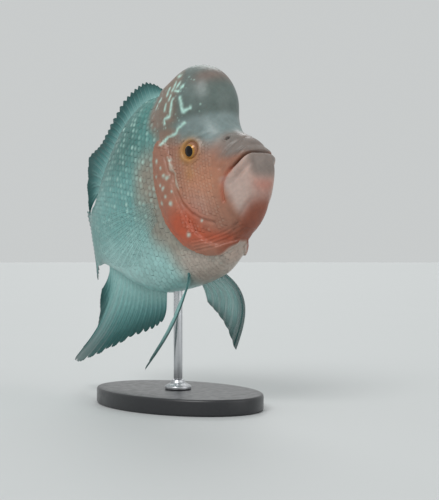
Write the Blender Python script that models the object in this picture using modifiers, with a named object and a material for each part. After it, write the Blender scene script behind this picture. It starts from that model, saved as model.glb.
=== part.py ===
"""Flowerhorn cichlid, life size, held over a flat base by one rod.

The fish is laid out in shares of its standard length: s runs back from the snout (0) to the end of the tail
stalk (1), y to the fish's left and z up from the level of the lower lip. place() swings the tail, tips the
nose up and sets the fish over its stand, in metres. The nose points to +X.
"""

import functools
import math

import bmesh
import bpy
from mathutils import Vector

# Driving dimensions of the fish and its pose
STANDARD_LENGTH = 0.200
NOSE_UP = math.radians(12)
TAIL_SWING = math.radians(46)
SWING_START = 0.55
SWING_END = 1.22
SWING_POWER = 1.4

# Driving dimensions of the stand, in metres
BASE_LENGTH = 0.130
BASE_WIDTH = 0.086
BASE_THICKNESS = 0.010
BASE_BEVEL = 0.0015
ROD_RADIUS = 0.0028
COLLAR_RADIUS = 0.0085
COLLAR_HEIGHT = 0.006
COLLAR_STEP = 0.0025
COLLAR_LIP = 0.0012
FIN_CLEARANCE = 0.006
LOWEST_FIN = 0.664

# Gap that touching pieces keep, in metres and as a share of the length
GAP = 0.0003
GAP_SHARE = GAP / STANDARD_LENGTH

# The body's outline and thickness, each as (s, size)
BACK = ((0, 0.024), (0.002, 0.034), (0.008, 0.046), (0.018, 0.060), (0.032, 0.088), (0.05, 0.106),
        (0.09, 0.132), (0.13, 0.172), (0.20, 0.252), (0.28, 0.308), (0.38, 0.345), (0.47, 0.350),
        (0.56, 0.328), (0.66, 0.272), (0.76, 0.198), (0.85, 0.135), (0.92, 0.108), (1.00, 0.106))
BELLY = ((0, 0.012), (0.002, -0.002), (0.006, -0.022), (0.020, -0.068), (0.049, -0.124), (0.090, -0.166),
         (0.135, -0.192), (0.165, -0.212), (0.20, -0.250), (0.27, -0.281), (0.38, -0.291), (0.48, -0.290),
         (0.56, -0.274), (0.66, -0.232), (0.76, -0.176), (0.85, -0.132), (0.92, -0.110), (1.00, -0.106))
HALF_WIDTH = ((0, 0.012), (0.002, 0.026), (0.006, 0.040), (0.02, 0.055), (0.06, 0.071), (0.12, 0.086),
              (0.20, 0.103), (0.30, 0.122), (0.37, 0.125), (0.46, 0.118), (0.56, 0.101), (0.66, 0.079),
              (0.76, 0.057), (0.86, 0.038), (0.93, 0.028), (0.97, 0.019), (1.00, 0.008))
WIDEST_LEVEL = ((0, 0.016), (0.02, 0.018), (0.10, 0.020), (0.22, 0.040), (0.36, 0.040), (0.60, 0.030),
                (1.00, 0))
BACK_ROUNDNESS = 2.0
BELLY_ROUNDNESS = 2.25

# The mouth, the eye and the nostril
MOUTH_CORNER = 0.088
MOUTH_LINE = ((0, 0.047), (0.012, 0.047), (0.030, 0.036), (0.045, 0.025), (0.062, 0.014), (0.096, -0.006))
LIP_SWELL = 0.0085
LIP_HEIGHT = 0.017
EYE_S = 0.212
EYE_LEVEL = 0.100
EYE_RADIUS = 0.0325
EYE_BULGE = 0.011
ORBIT_SWELL = 0.005
NOSTRIL = (0.095, 0.108)
NOSTRIL_RADIUS = 0.0065

# The nuchal hump: a leaning dome over (s, z), whose foot flares to the snout and runs down the temples
HUMP_CENTRE = (0.284, 0.215)
HUMP_HALF_LENGTH = 0.165
HUMP_HEIGHT = 0.172
HUMP_LEAN = 0.038
HUMP_HALF_WIDTH = 0.112
HUMP_FOOT = ((0.095, 0.082), (0.120, 0.095), (0.140, 0.104), (0.160, 0.110), (0.185, HUMP_HALF_WIDTH))
HUMP_NAPE = 0.026
HUMP_ROUNDNESS = 2.2

# Where the thin cuts part the body, as (s, z) lines
JAW_CUT_BACK = ((0.108, -0.026), (0.119, -0.056), (0.125, -0.095), (0.128, -0.150), (0.128, -0.300))
HEAD_CUT = ((0.450, 0.420), (0.420, 0.330), (0.350, 0.200), (0.335, 0.060), (0.318, -0.050), (0.295, -0.104),
            (0.250, -0.178), (0.195, -0.212), (0.152, -0.224), (0.142, -0.300))
STALK_CUT = 0.870
MOUTH_CUT = (-0.03, 0.096)
MOUTH_HALF_OPENING = 0.0024

# A point (s, z) near the middle of each piece of the parted body
INSIDE = {"head": (0.25, 0.05), "lower_jaw": (0.07, -0.07), "trunk": (0.60, 0.02), "tail_stalk": (0.93, 0.0)}

# The gill covers, as (angle from the back in degrees, s) for the front line and the free rear edge
COVER_FRONT = ((65, 0.312), (70, 0.298), (78, 0.289), (95, 0.279), (115, 0.258), (135, 0.215), (155, 0.167),
               (172, 0.136))
COVER_REAR = ((65, 0.334), (70, 0.349), (78, 0.356), (90, 0.359), (108, 0.346), (127, 0.300), (140, 0.250),
              (155, 0.200), (172, 0.160))
COVER_PLATE = 0.0080
COVER_FLARE = 0.0090
COVER_EDGE = 0.0026

# The fins: number of rays and thickness in metres
DORSAL_SPINES, DORSAL_SOFT = 15, 11
ANAL_SPINES, ANAL_SOFT = 6, 10
CAUDAL_RAYS = 16
PECTORAL_RAYS = 11
PELVIC_RAYS = 6
RAY_HALF_ROOT = 0.00085
RAY_HALF_TIP = 0.00030
MEMBRANE_HALF = 0.00027
ROOT_SINK = 0.010

COLOURS = {
    "head": (0.62, 0.36, 0.29), "lower_jaw": (0.74, 0.60, 0.56), "nuchal_hump": (0.50, 0.33, 0.32),
    "gill_cover": (0.66, 0.29, 0.19), "trunk": (0.50, 0.62, 0.62), "tail_stalk": (0.42, 0.55, 0.56),
    "eye": (0.85, 0.50, 0.16), "fin": (0.14, 0.32, 0.34), "clear_fin": (0.45, 0.66, 0.66),
    "stand_base": (0.10, 0.10, 0.11), "stand_rod": (0.62, 0.63, 0.65),
}


def smooth(points, at):
    """Reads a curve through the points that never swings past them."""
    xs = [p[0] for p in points]
    ys = [p[1] for p in points]
    if at <= xs[0]:
        return ys[0]
    if at >= xs[-1]:
        return ys[-1]
    slopes = [(ys[i + 1] - ys[i]) / (xs[i + 1] - xs[i]) for i in range(len(xs) - 1)]
    k = next(i for i in range(len(xs) - 1) if at <= xs[i + 1])

    def tangent(i):
        if i in (0, len(xs) - 1):
            return slopes[0] if i == 0 else slopes[-1]
        left, right = slopes[i - 1], slopes[i]
        return 0.0 if left * right <= 0 else 2 * left * right / (left + right)

    span = xs[k + 1] - xs[k]
    t = (at - xs[k]) / span
    return (ys[k] * (1 + 2 * t) * (1 - t) ** 2 + ys[k + 1] * t * t * (3 - 2 * t)
            + span * t * (1 - t) * ((1 - t) * tangent(k) - t * tangent(k + 1)))


def ease(low, high, at):
    """0 below low, 1 above high, and a soft step between them."""
    t = min(1.0, max(0.0, (at - low) / (high - low)))
    return t * t * (3 - 2 * t)


def hill(at, centre, spread):
    return math.exp(-(((at - centre) / spread) ** 2))


@functools.lru_cache(maxsize=None)
def spine(s):
    """Centre line (x, y) and turn of the body at s; behind SWING_START the tail swings to the left."""
    if s <= SWING_START:
        return -s, 0.0, 0.0
    steps = 24
    x, y = -SWING_START, 0.0
    reach = SWING_END - SWING_START
    for i in range(steps):
        at = (i + 0.5) / steps * (s - SWING_START)
        turn = TAIL_SWING * (at / reach) ** SWING_POWER
        x -= math.cos(turn) * (s - SWING_START) / steps
        y += math.sin(turn) * (s - SWING_START) / steps
    return x, y, TAIL_SWING * ((s - SWING_START) / reach) ** SWING_POWER


ROD_S = 0.475
ROD_LEVEL = smooth(BELLY, ROD_S)
SNOUT_HEIGHT = BASE_THICKNESS + FIN_CLEARANCE + LOWEST_FIN * STANDARD_LENGTH
SNOUT_X = (ROD_S * math.cos(NOSE_UP) + ROD_LEVEL * math.sin(NOSE_UP)) * STANDARD_LENGTH


def place(s, y, z):
    """Sets a point of the fish's own layout in the world, in metres."""
    line_x, line_y, turn = spine(round(s, 6))
    x = line_x + y * math.sin(turn)
    side = line_y + y * math.cos(turn)
    return Vector((
        (x * math.cos(NOSE_UP) - z * math.sin(NOSE_UP)) * STANDARD_LENGTH + SNOUT_X,
        side * STANDARD_LENGTH,
        (x * math.sin(NOSE_UP) + z * math.cos(NOSE_UP)) * STANDARD_LENGTH + SNOUT_HEIGHT,
    ))


def mouth_level(s):
    return smooth(MOUTH_LINE, s)


def relief(s, y, z):
    """Swell of the skin over the plain body: the two lips and the rise around the eye."""
    swell = 0.0
    lips = 1 - ease(0.60 * MOUTH_CORNER, 1.15 * MOUTH_CORNER, s)
    if lips > 0:
        above = z - mouth_level(s)
        both = hill(above, LIP_HEIGHT, LIP_HEIGHT) + hill(above, -LIP_HEIGHT, LIP_HEIGHT)
        swell += LIP_SWELL * lips * both
    from_eye = math.hypot(s - EYE_S, z - EYE_LEVEL)
    swell += ORBIT_SWELL * hill(from_eye, 0, 1.7 * EYE_RADIUS)
    return swell


def skin(s, angle, lift=0.0):
    """Skin at s and an angle from the back, 0, down the right side to the belly, pi, and up the left."""
    top, bottom = smooth(BACK, s), smooth(BELLY, s)
    half, middle = smooth(HALF_WIDTH, s), smooth(WIDEST_LEVEL, s)
    up, out = math.cos(angle), -math.sin(angle)
    rise, power = (top - middle, 2 / BACK_ROUNDNESS) if up > 0 else (middle - bottom, 2 / BELLY_ROUNDNESS)
    y = math.copysign(half * abs(out) ** power, out)
    z = middle + math.copysign(rise * abs(up) ** power, up)
    normal = Vector((y / half ** 2, (z - middle) / rise ** 2))
    if normal.length > 0:
        normal.normalize()
    swell = lift + relief(s, y, z)
    return s, y + normal.x * swell, z + normal.y * swell


def new_object(name, mesh_data, colour):
    """Wraps a bmesh as a named object with a material of its own, in the fish's collection."""
    mesh = bpy.data.meshes.new(name)
    mesh_data.to_mesh(mesh)
    mesh_data.free()
    material = bpy.data.materials.new(name)
    material.use_nodes = True
    shader = material.node_tree.nodes["Principled BSDF"]
    shader.inputs["Base Color"].default_value = (*COLOURS[colour], 1)
    shader.inputs["Roughness"].default_value = 0.3 if colour == "stand_rod" else 0.45
    shader.inputs["Metallic"].default_value = 1.0 if colour == "stand_rod" else 0.0
    mesh.materials.append(material)
    part = bpy.data.objects.new(name, mesh)
    bpy.data.collections["flowerhorn"].objects.link(part)
    mesh.shade_smooth()
    mesh.set_sharp_from_angle(angle=math.radians(40))
    return part


def loft(rings):
    """Closed skin over a row of rings with as many points each."""
    mesh = bmesh.new()
    rows = [[mesh.verts.new(p) for p in ring] for ring in rings]
    count = len(rows[0])
    for ring, after in zip(rows, rows[1:]):
        for i in range(count):
            j = (i + 1) % count
            mesh.faces.new((ring[i], after[i], after[j], ring[j]))
    mesh.faces.new(rows[0])
    mesh.faces.new(rows[-1][::-1])
    bmesh.ops.recalc_face_normals(mesh, faces=mesh.faces)
    bmesh.ops.triangulate(mesh, faces=mesh.faces)
    return mesh


def body_stations():
    """Places of the body's rings, close at the lips and wide along the trunk."""
    snout = [0, 0.0025, 0.006, 0.011, 0.018, 0.028, 0.040, 0.054, 0.068, 0.082, 0.096, 0.110, 0.124, 0.138]
    head = [0.138 + 0.0165 * (i + 1) for i in range(14)]
    trunk = [head[-1] + (1 - head[-1]) * (i + 1) / 18 for i in range(18)]
    return snout + head + trunk


RING_SIDES = 40


def whole_body(lift=0.0):
    turns = [2 * math.pi * i / RING_SIDES for i in range(RING_SIDES)]
    return loft([[place(*skin(s, turn, lift)) for turn in turns] for s in body_stations()])


def sheet(line, half_gap, half_depth=0.25):
    """Thin upright sheet along an (s, z) line, right through the fish, as a cutter."""
    left, right = [], []
    for i, (s, z) in enumerate(line):
        before = Vector(line[max(0, i - 1)])
        after = Vector(line[min(len(line) - 1, i + 1)])
        along = (after - before).normalized()
        width = half_gap[i] if isinstance(half_gap, (list, tuple)) else half_gap
        left.append((s - along.y * width, z + along.x * width))
        right.append((s + along.y * width, z - along.x * width))
    outline = left + right[::-1]
    return loft([[place(s, side, z) for s, z in outline] for side in (-half_depth, half_depth)])


def ball(centre, radius, segments=16, rings=10):
    mesh = bmesh.new()
    bmesh.ops.create_uvsphere(mesh, u_segments=segments, v_segments=rings, radius=radius)
    bmesh.ops.translate(mesh, verts=mesh.verts, vec=centre)
    bmesh.ops.triangulate(mesh, faces=mesh.faces)
    return mesh


def as_cutter(name, mesh_data):
    mesh = bpy.data.meshes.new(name)
    mesh_data.to_mesh(mesh)
    mesh_data.free()
    cutter = bpy.data.objects.new(name, mesh)
    cutter.display_type = "WIRE"
    cutter.hide_render = True
    bpy.data.collections["cutters"].objects.link(cutter)
    return cutter


def cut(part, cutter, keep=False):
    """Takes the cutter out of the part, and then removes the cutter unless it is kept."""
    step = part.modifiers.new(cutter.name, "BOOLEAN")
    step.operation = "DIFFERENCE"
    step.solver = "EXACT"
    step.object = cutter
    bpy.context.view_layer.update()
    result = bpy.data.meshes.new_from_object(part.evaluated_get(bpy.context.evaluated_depsgraph_get()))
    part.modifiers.clear()
    old = part.data
    part.data = result
    bpy.data.meshes.remove(old)
    if not keep:
        bpy.data.objects.remove(cutter)


def surfaces(part):
    """The closed surfaces of an object, each as a list of its faces' corner places."""
    mesh = bmesh.new()
    mesh.from_mesh(part.data)
    bmesh.ops.triangulate(mesh, faces=mesh.faces)
    mesh.faces.ensure_lookup_table()
    seen, found = set(), []
    for face in mesh.faces:
        if face.index in seen:
            continue
        seen.add(face.index)
        stack, group = [face], []
        while stack:
            at = stack.pop()
            group.append([v.co.copy() for v in at.verts])
            for edge in at.edges:
                for other in edge.link_faces:
                    if other.index not in seen:
                        seen.add(other.index)
                        stack.append(other)
        found.append(group)
    mesh.free()
    return found


def from_faces(group):
    mesh = bmesh.new()
    made = {}
    for corners in group:
        verts = []
        for co in corners:
            key = tuple(round(c, 8) for c in co)
            if key not in made:
                made[key] = mesh.verts.new(co)
            verts.append(made[key])
        if len(set(verts)) == 3:
            mesh.faces.new(verts)
    bmesh.ops.recalc_face_normals(mesh, faces=mesh.faces)
    return mesh


def middle_of(group):
    """Mean corner of a closed surface."""
    return sum((corner for corners in group for corner in corners), Vector()) / (3 * len(group))


def on_upper_side(s, z, side, out=0.0):
    """Point on the skin above the widest level, pushed out by a share of the length."""
    middle = smooth(WIDEST_LEVEL, s)
    slope = (z - middle) / (smooth(BACK, s) - middle)
    return place(s, side * (smooth(HALF_WIDTH, s) * math.sqrt(1 - slope ** 2) + out), z)


def eye_centre(side):
    """Centre of the eyeball, sunk so that only EYE_BULGE of it stands out of the cheek."""
    return on_upper_side(EYE_S, EYE_LEVEL, side, EYE_BULGE - EYE_RADIUS)


def flesh():
    """The body modelled whole, then parted by thin cuts into head, lower jaw, trunk and tail stalk."""
    body = new_object("whole", whole_body(), "trunk")
    steps = 9
    mouth = [MOUTH_CUT[0] + (MOUTH_CUT[1] - MOUTH_CUT[0]) * i / steps for i in range(steps + 1)]
    line = [(s, mouth_level(max(0.0, s))) for s in mouth] + list(JAW_CUT_BACK)
    opening = [GAP_SHARE / 2 + MOUTH_HALF_OPENING * (1 - ease(0.03, MOUTH_CUT[1], s)) for s in mouth]
    cut(body, as_cutter("mouth_and_jaw_cut", sheet(line, opening + [GAP_SHARE / 2] * len(JAW_CUT_BACK))))
    cut(body, as_cutter("head_cut", sheet(HEAD_CUT, GAP_SHARE / 2)))
    cut(body, as_cutter("stalk_cut", sheet(((STALK_CUT, 0.3), (STALK_CUT, -0.3)), GAP_SHARE / 2)))
    for side in (-1, 1):
        cut(body, as_cutter("socket", ball(eye_centre(side), EYE_RADIUS * STANDARD_LENGTH + GAP)))
        nostril = ball(on_upper_side(*NOSTRIL, side), NOSTRIL_RADIUS * STANDARD_LENGTH, 8, 6)
        cut(body, as_cutter("nostril", nostril))
    found = sorted(surfaces(body), key=len, reverse=True)[:4]
    bpy.data.objects.remove(body)
    for name, (s, z) in INSIDE.items():
        nearest = min(found, key=lambda group: (middle_of(group) - place(s, 0, z)).length)
        new_object(name, from_faces(nearest), name)


def clear_of_body(part, colour):
    """Cuts a part clear of the body by the gap and keeps its largest closed surface."""
    cut(part, bpy.data.objects["body_and_gap"], keep=True)
    largest = max(surfaces(part), key=len)
    name = part.name
    bpy.data.objects.remove(part)
    new_object(name, from_faces(largest), colour)


def hump_ring(z, sides=30):
    """Level section of the hump at z, longer behind its widest point than before it."""
    t = (z - HUMP_CENTRE[1]) / HUMP_HEIGHT
    round_off = math.sqrt(max(0.0, 1 - t * t))
    middle = HUMP_CENTRE[0] - HUMP_LEAN * t
    front = HUMP_HALF_LENGTH * round_off + 10 * max(0.0, 0.21 - z) ** 2
    rear = HUMP_HALF_LENGTH * round_off + HUMP_NAPE * hill(z, 0.337, 0.016) - 0.05 * ease(0.24, 0.16, z)
    half = HUMP_HALF_WIDTH * round_off if t > 0 else smooth(HUMP_FOOT, z)
    ring = []
    for i in range(sides):
        turn = 2 * math.pi * i / sides
        back, out = math.cos(turn), math.sin(turn)
        along = math.copysign(abs(back) ** (2 / HUMP_ROUNDNESS), back) * (rear if back > 0 else front)
        ring.append(place(middle + along, half * math.copysign(abs(out) ** (2 / HUMP_ROUNDNESS), out), z))
    return ring


def nuchal_hump():
    """The dome on the forehead, hollowed by the head under it."""
    foot = [0.100, 0.120, 0.138, 0.154, 0.170, 0.186, 0.200]
    dome = [HUMP_CENTRE[1] + HUMP_HEIGHT * math.sin(math.radians(turn)) for turn in range(0, 90, 8)]
    mesh = loft([hump_ring(z) for z in foot + dome])
    clear_of_body(new_object("nuchal_hump", mesh, "nuchal_hump"), "nuchal_hump")


def two_faced(name, columns, rows, face, colour):
    """Thin closed solid between face(0, i, j) and face(1, i, j), with the same triangles on both."""
    mesh = bmesh.new()
    points = [[[mesh.verts.new(face(side, i, j)) for j in range(rows)] for i in range(columns)]
              for side in (0, 1)]
    for i in range(columns - 1):
        for j in range(rows - 1):
            for grid in points:
                mesh.faces.new((grid[i][j], grid[i + 1][j], grid[i + 1][j + 1]))
                mesh.faces.new((grid[i][j], grid[i + 1][j + 1], grid[i][j + 1]))
    rim = [(i, 0) for i in range(columns)] + [(columns - 1, j) for j in range(1, rows)]
    rim += [(i, rows - 1) for i in range(columns - 2, -1, -1)] + [(0, j) for j in range(rows - 2, 0, -1)]
    near, far = points
    for (i, j), (k, m) in zip(rim, rim[1:] + rim[:1]):
        mesh.faces.new((near[i][j], near[k][m], far[k][m]))
        mesh.faces.new((near[i][j], far[k][m], far[i][j]))
    bmesh.ops.recalc_face_normals(mesh, faces=mesh.faces)
    return new_object(name, mesh, colour)


def solid_sheet(name, columns, rows, surface, half, colour):
    """Thin solid on both sides of surface(u, v), with half its thickness given by half(i, v), in metres."""
    step = 1e-4

    def face(side, i, j):
        u, v = i / (columns - 1), j / (rows - 1)
        across = surface(min(1, u + step), v) - surface(max(0, u - step), v)
        along = surface(u, min(1, v + step)) - surface(u, max(0, v - step))
        normal = across.cross(along).normalized() * half(i, v)
        return surface(u, v) + (normal if side else -normal)

    return two_faced(name, columns, rows, face, colour)


def gill_cover(name, side):
    """Plate over the gills, flared at its free rear edge, from behind the eye to under the throat."""
    columns, rows = 8, 20
    first, last = math.radians(COVER_FRONT[0][0]), math.radians(COVER_FRONT[-1][0])

    def face(outer, i, j):
        u, v = i / (columns - 1), j / (rows - 1)
        angle = first + (last - first) * v
        front, rear = smooth(COVER_FRONT, math.degrees(angle)), smooth(COVER_REAR, math.degrees(angle))
        flare = COVER_FLARE * u ** 2.2 * (1 - 0.95 * ease(0.65, 1, v))
        lift = 1.3 * GAP_SHARE + flare
        if outer:
            belly = math.sin(math.pi * min(1.0, 1.1 * u + 0.08)) ** 0.6 if u < 0.83 else 0.0
            lift += COVER_EDGE + COVER_PLATE * belly * (0.2 + 0.8 * math.sin(math.pi * min(1.0, v + 0.10)))
        s, y, z = skin(front + (rear - front) * u, angle, lift)
        return place(s, -side * y, z)

    two_faced(name, columns, rows, face, "gill_cover")


def ray_half(i, columns, v, root):
    """Half thickness at column i: odd columns are rays, which taper to their tips."""
    fine = 1 - 0.45 * ease(0.75, 1.0, i / columns)
    return max(MEMBRANE_HALF, (root + (RAY_HALF_TIP - root) * v) * fine) if i % 2 else MEMBRANE_HALF


def rayed_fin(name, rays, rows, surface, notch, colour="fin", root=RAY_HALF_ROOT):
    """Fin with one ridge a ray; notch(u) is how far the membrane falls short between the tips."""
    columns = 2 * rays + 1

    def trimmed(u, v):
        between_rays = 1 - abs(math.sin(math.pi * u * (columns - 1) / 2))
        return surface(u, v * (1 - notch(u) * between_rays))

    return solid_sheet(name, columns, rows, trimmed, lambda i, v: ray_half(i, columns, v, root), colour)


def bow(start, end, v, sag):
    """Point at v along a ray from start to end in (s, z), bowed sideways by sag of its length."""
    along = Vector(end) - Vector(start)
    push = sag * math.sin(math.pi * v)
    return start[0] + along.x * v + along.y * push, start[1] + along.y * v - along.x * push


def dorsal_fin():
    """Spines along the back, low and raked, then a tall soft lobe whose rear hangs beside the tail stalk."""
    base = (0.394, 0.862)
    tips_s = ((0, 0.412), (0.15, 0.490), (0.35, 0.600), (0.55, 0.715), (0.70, 0.795), (0.80, 0.850),
              (0.87, 0.888), (0.93, 0.915), (1, 0.935))
    tips_z = ((0, 0.362), (0.08, 0.398), (0.20, 0.424), (0.35, 0.408), (0.55, 0.340), (0.70, 0.292),
              (0.80, 0.280), (0.86, 0.268), (0.93, 0.180), (1, 0.062))

    def surface(u, v):
        s0 = base[0] + (base[1] - base[0]) * u
        start = (s0, smooth(BACK, s0) + GAP_SHARE)
        s, z = bow(start, (smooth(tips_s, u), smooth(tips_z, u)), v, -0.05 - 0.17 * ease(0.80, 1.0, u))
        drape = -0.027 * ease(0.72, 1.0, u) * v ** 1.25
        return place(s, 0.008 * math.sin(6.0 * u) * v ** 1.5 + drape, z)

    def notch(u):
        return 0.16 * (1 - ease(0.50, 0.75, u)) + 0.02

    rayed_fin("dorsal_fin", DORSAL_SPINES + DORSAL_SOFT, 8, surface, notch)


def anal_fin():
    """Short spines, then soft rays that lengthen into a point trailing below and beside the tail."""
    base = (0.530, 0.866)
    tips_s = ((0, 0.562), (0.20, 0.646), (0.40, 0.740), (0.60, 0.838), (0.70, 0.935), (0.78, 1.130),
              (0.83, 1.070), (0.88, 1.020), (0.93, 0.965), (1, 0.905))
    tips_z = ((0, -0.366), (0.10, -0.380), (0.30, -0.397), (0.50, -0.423), (0.60, -0.437), (0.70, -0.440),
              (0.78, -0.413), (0.83, -0.392), (0.88, -0.345), (0.93, -0.284), (1, -0.205))

    def surface(u, v):
        s0 = base[0] + (base[1] - base[0]) * u
        start = (s0, smooth(BELLY, s0) - GAP_SHARE)
        s, z = bow(start, (smooth(tips_s, u), smooth(tips_z, u)), v, 0.05 + 0.06 * u)
        sway = -0.118 * ease(0.1, 0.75, u) * (1 - 0.75 * ease(0.77, 0.92, u))
        return place(s, sway * v ** 1.6, z)

    def notch(u):
        return 0.03 + 0.07 * (1 - ease(0.2, 0.5, u))

    rayed_fin("anal_fin", ANAL_SPINES + ANAL_SOFT, 8, surface, notch)


def caudal_fin():
    """Rounded tail fan on the end of the tail stalk."""
    end = 1.0 + GAP_SHARE

    def surface(u, v):
        spread = 2 * u - 1
        length = (0.228 - 0.075 * spread ** 2) * v
        slant = math.radians(15) * spread
        return place(end + length * math.cos(slant), 0.006 * math.sin(5.0 * u) * v,
                     0.094 * spread + length * math.sin(slant))

    rayed_fin("caudal_fin", CAUDAL_RAYS, 7, surface, lambda u: 0.03)


def side_fin(name, side, rays, rows, root, tips, bulge, colour, thick=RAY_HALF_ROOT):
    """Paired fin whose rays run from a root line inside the body to a tip line, both in (s, y, z)."""

    def line(points, u):
        knots = [(i / (len(points) - 1), p) for i, p in enumerate(points)]
        return Vector([smooth([(k, p[axis]) for k, p in knots], u) for axis in range(3)])

    def surface(u, v):
        at = line(root, u).lerp(line(tips, u), v) + line(bulge, u) * math.sin(math.pi * v ** 0.85)
        return place(at.x, side * at.y, at.z)

    fin = rayed_fin(name, rays, rows, surface, lambda u: 0.04, colour, thick)
    clear_of_body(fin, colour)


def flank(s, level, sink):
    """Skin point at s and a level below the widest line, sunk into the body, as (s, y, z)."""
    bottom, middle = smooth(BELLY, s), smooth(WIDEST_LEVEL, s)
    share = min(1.0, (middle - level) / (middle - bottom))
    return s, smooth(HALF_WIDTH, s) * (1 - share ** BELLY_ROUNDNESS) ** (1 / BELLY_ROUNDNESS) - sink, level


def underside(s, y, sink):
    """Skin point at s and y under the body, sunk into it, as (s, y, z)."""
    bottom, middle = smooth(BELLY, s), smooth(WIDEST_LEVEL, s)
    share = y / smooth(HALF_WIDTH, s)
    return s, y, middle - (middle - bottom) * (1 - share ** BELLY_ROUNDNESS) ** (1 / BELLY_ROUNDNESS) + sink


def pectoral_fins():
    """Clear fans held back and a little down against the flanks, just behind the gill covers."""
    root = [flank(0.376, -0.020, ROOT_SINK), flank(0.380, -0.045, ROOT_SINK), flank(0.382, -0.072, ROOT_SINK)]
    tips = [(0.590, 0.165, -0.010), (0.625, 0.172, -0.080), (0.610, 0.166, -0.150), (0.550, 0.155, -0.195),
            (0.480, 0.145, -0.205)]
    for name, side in (("pectoral_fin_right", -1), ("pectoral_fin_left", 1)):
        side_fin(name, side, PECTORAL_RAYS, 7, root, tips, [(0, 0.014, 0)] * 2, "clear_fin", 0.0006)


def pelvic_fins():
    """Long pointed blades: the right one is swept back, the left one hangs spread."""
    root = [underside(0.335, 0.062, ROOT_SINK), underside(0.360, 0.042, ROOT_SINK),
            underside(0.385, 0.022, ROOT_SINK)]
    right_tips = [(0.614, 0.070, -0.525), (0.584, 0.056, -0.483), (0.525, 0.042, -0.428),
                  (0.478, 0.028, -0.378)]
    right_bulge = [(-0.036, 0, -0.012), (0.012, 0, 0)]
    left_tips = [(0.385, 0.128, -0.504), (0.380, 0.104, -0.437), (0.385, 0.076, -0.380),
                 (0.392, 0.045, -0.340)]
    left_bulge = [(-0.064, 0.020, 0.004), (0, 0.004, 0)]
    side_fin("pelvic_fin_right", -1, PELVIC_RAYS, 10, root, right_tips, right_bulge, "fin")
    side_fin("pelvic_fin_left", 1, PELVIC_RAYS, 10, root, left_tips, left_bulge, "fin")


def eyes():
    for name, side in (("eye_right", -1), ("eye_left", 1)):
        new_object(name, ball(eye_centre(side), EYE_RADIUS * STANDARD_LENGTH), "eye")


def cylinder(radius, low, high, sides):
    """Upright round bar on the Z axis, from height low to high."""
    mesh = bmesh.new()
    bmesh.ops.create_cone(mesh, cap_ends=True, segments=sides, radius1=radius, radius2=radius,
                          depth=high - low)
    bmesh.ops.translate(mesh, verts=mesh.verts, vec=(0, 0, (low + high) / 2))
    return mesh


def stand():
    """Flat oval base with eased edges, a turned collar and one upright rod to the belly."""
    mesh = cylinder(BASE_LENGTH / 2, 0, BASE_THICKNESS, 48)
    bmesh.ops.scale(mesh, verts=mesh.verts, vec=(1, BASE_WIDTH / BASE_LENGTH, 1))
    easing = new_object("stand_base", mesh, "stand_base").modifiers.new("eased edges", "BEVEL")
    easing.width = BASE_BEVEL
    easing.segments = 2

    foot, shoulder = BASE_THICKNESS + GAP, BASE_THICKNESS + GAP + COLLAR_HEIGHT
    lip = ROD_RADIUS + COLLAR_LIP
    profile = [(0, shoulder), (lip, shoulder), (COLLAR_RADIUS, foot + COLLAR_STEP), (COLLAR_RADIUS, foot),
               (0, foot)]
    mesh = bmesh.new()
    points = [mesh.verts.new((radius, 0, height)) for radius, height in profile]
    for a, b in zip(points, points[1:]):
        mesh.edges.new((a, b))
    turn = new_object("stand_collar", mesh, "stand_rod").modifiers.new("turned", "SCREW")
    turn.steps = turn.render_steps = 24
    turn.use_merge_vertices = True
    turn.merge_threshold = 1e-5

    mesh = cylinder(ROD_RADIUS, shoulder + GAP, place(ROD_S, 0, ROD_LEVEL).z + 2 * ROD_RADIUS, 20)
    clear_of_body(new_object("stand_rod", mesh, "stand_rod"), "stand_rod")


def main():
    for old in list(bpy.data.objects):
        bpy.data.objects.remove(old)
    for name in ("flowerhorn", "cutters"):
        bpy.context.scene.collection.children.link(bpy.data.collections.new(name))
    flesh()
    as_cutter("body_and_gap", whole_body(GAP_SHARE))
    nuchal_hump()
    eyes()
    gill_cover("gill_cover_right", -1)
    gill_cover("gill_cover_left", 1)
    dorsal_fin()
    anal_fin()
    caudal_fin()
    pectoral_fins()
    pelvic_fins()
    stand()


main()
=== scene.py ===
"""Looks of the flowerhorn cichlid: skin, scales, eyes, fins, stand and a plain studio.

The fish is laid out in shares of its standard length: s runs back from the snout (0) to the end of
the tail stalk (1), y to the fish's left and z up from the level of the lower lip. place() sets such
points in the world. Sizes without a unit are such shares; sizes in metres say so.
"""

import math

import bmesh
import bpy
import numpy as np
from bpy.props import FloatProperty, FloatVectorProperty, IntProperty, PointerProperty
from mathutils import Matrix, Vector
from mathutils.bvhtree import BVHTree


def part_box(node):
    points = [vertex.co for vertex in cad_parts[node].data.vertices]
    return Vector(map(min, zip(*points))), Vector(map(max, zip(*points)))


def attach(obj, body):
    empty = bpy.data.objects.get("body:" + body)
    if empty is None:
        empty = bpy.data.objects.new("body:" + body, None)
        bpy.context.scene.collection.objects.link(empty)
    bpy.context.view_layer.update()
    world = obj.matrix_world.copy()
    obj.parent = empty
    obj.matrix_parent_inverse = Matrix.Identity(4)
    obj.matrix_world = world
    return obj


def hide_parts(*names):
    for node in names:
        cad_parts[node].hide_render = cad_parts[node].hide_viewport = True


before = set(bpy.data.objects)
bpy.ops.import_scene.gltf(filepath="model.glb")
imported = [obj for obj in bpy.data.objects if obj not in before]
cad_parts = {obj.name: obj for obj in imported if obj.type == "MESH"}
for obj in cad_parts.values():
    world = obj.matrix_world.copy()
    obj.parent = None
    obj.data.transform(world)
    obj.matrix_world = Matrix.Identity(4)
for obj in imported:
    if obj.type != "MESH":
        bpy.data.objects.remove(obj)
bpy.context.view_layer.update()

bl_info = {
    "name": "Flowerhorn cichlid",
    "version": (1, 0, 0),
    "blender": (4, 5, 0),
    "location": "View3D > Sidebar > Flowerhorn",
    "description": "Makes the skin, scales, eyes, fins, stand and studio of a flowerhorn cichlid",
    "category": "Object",
}

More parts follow.
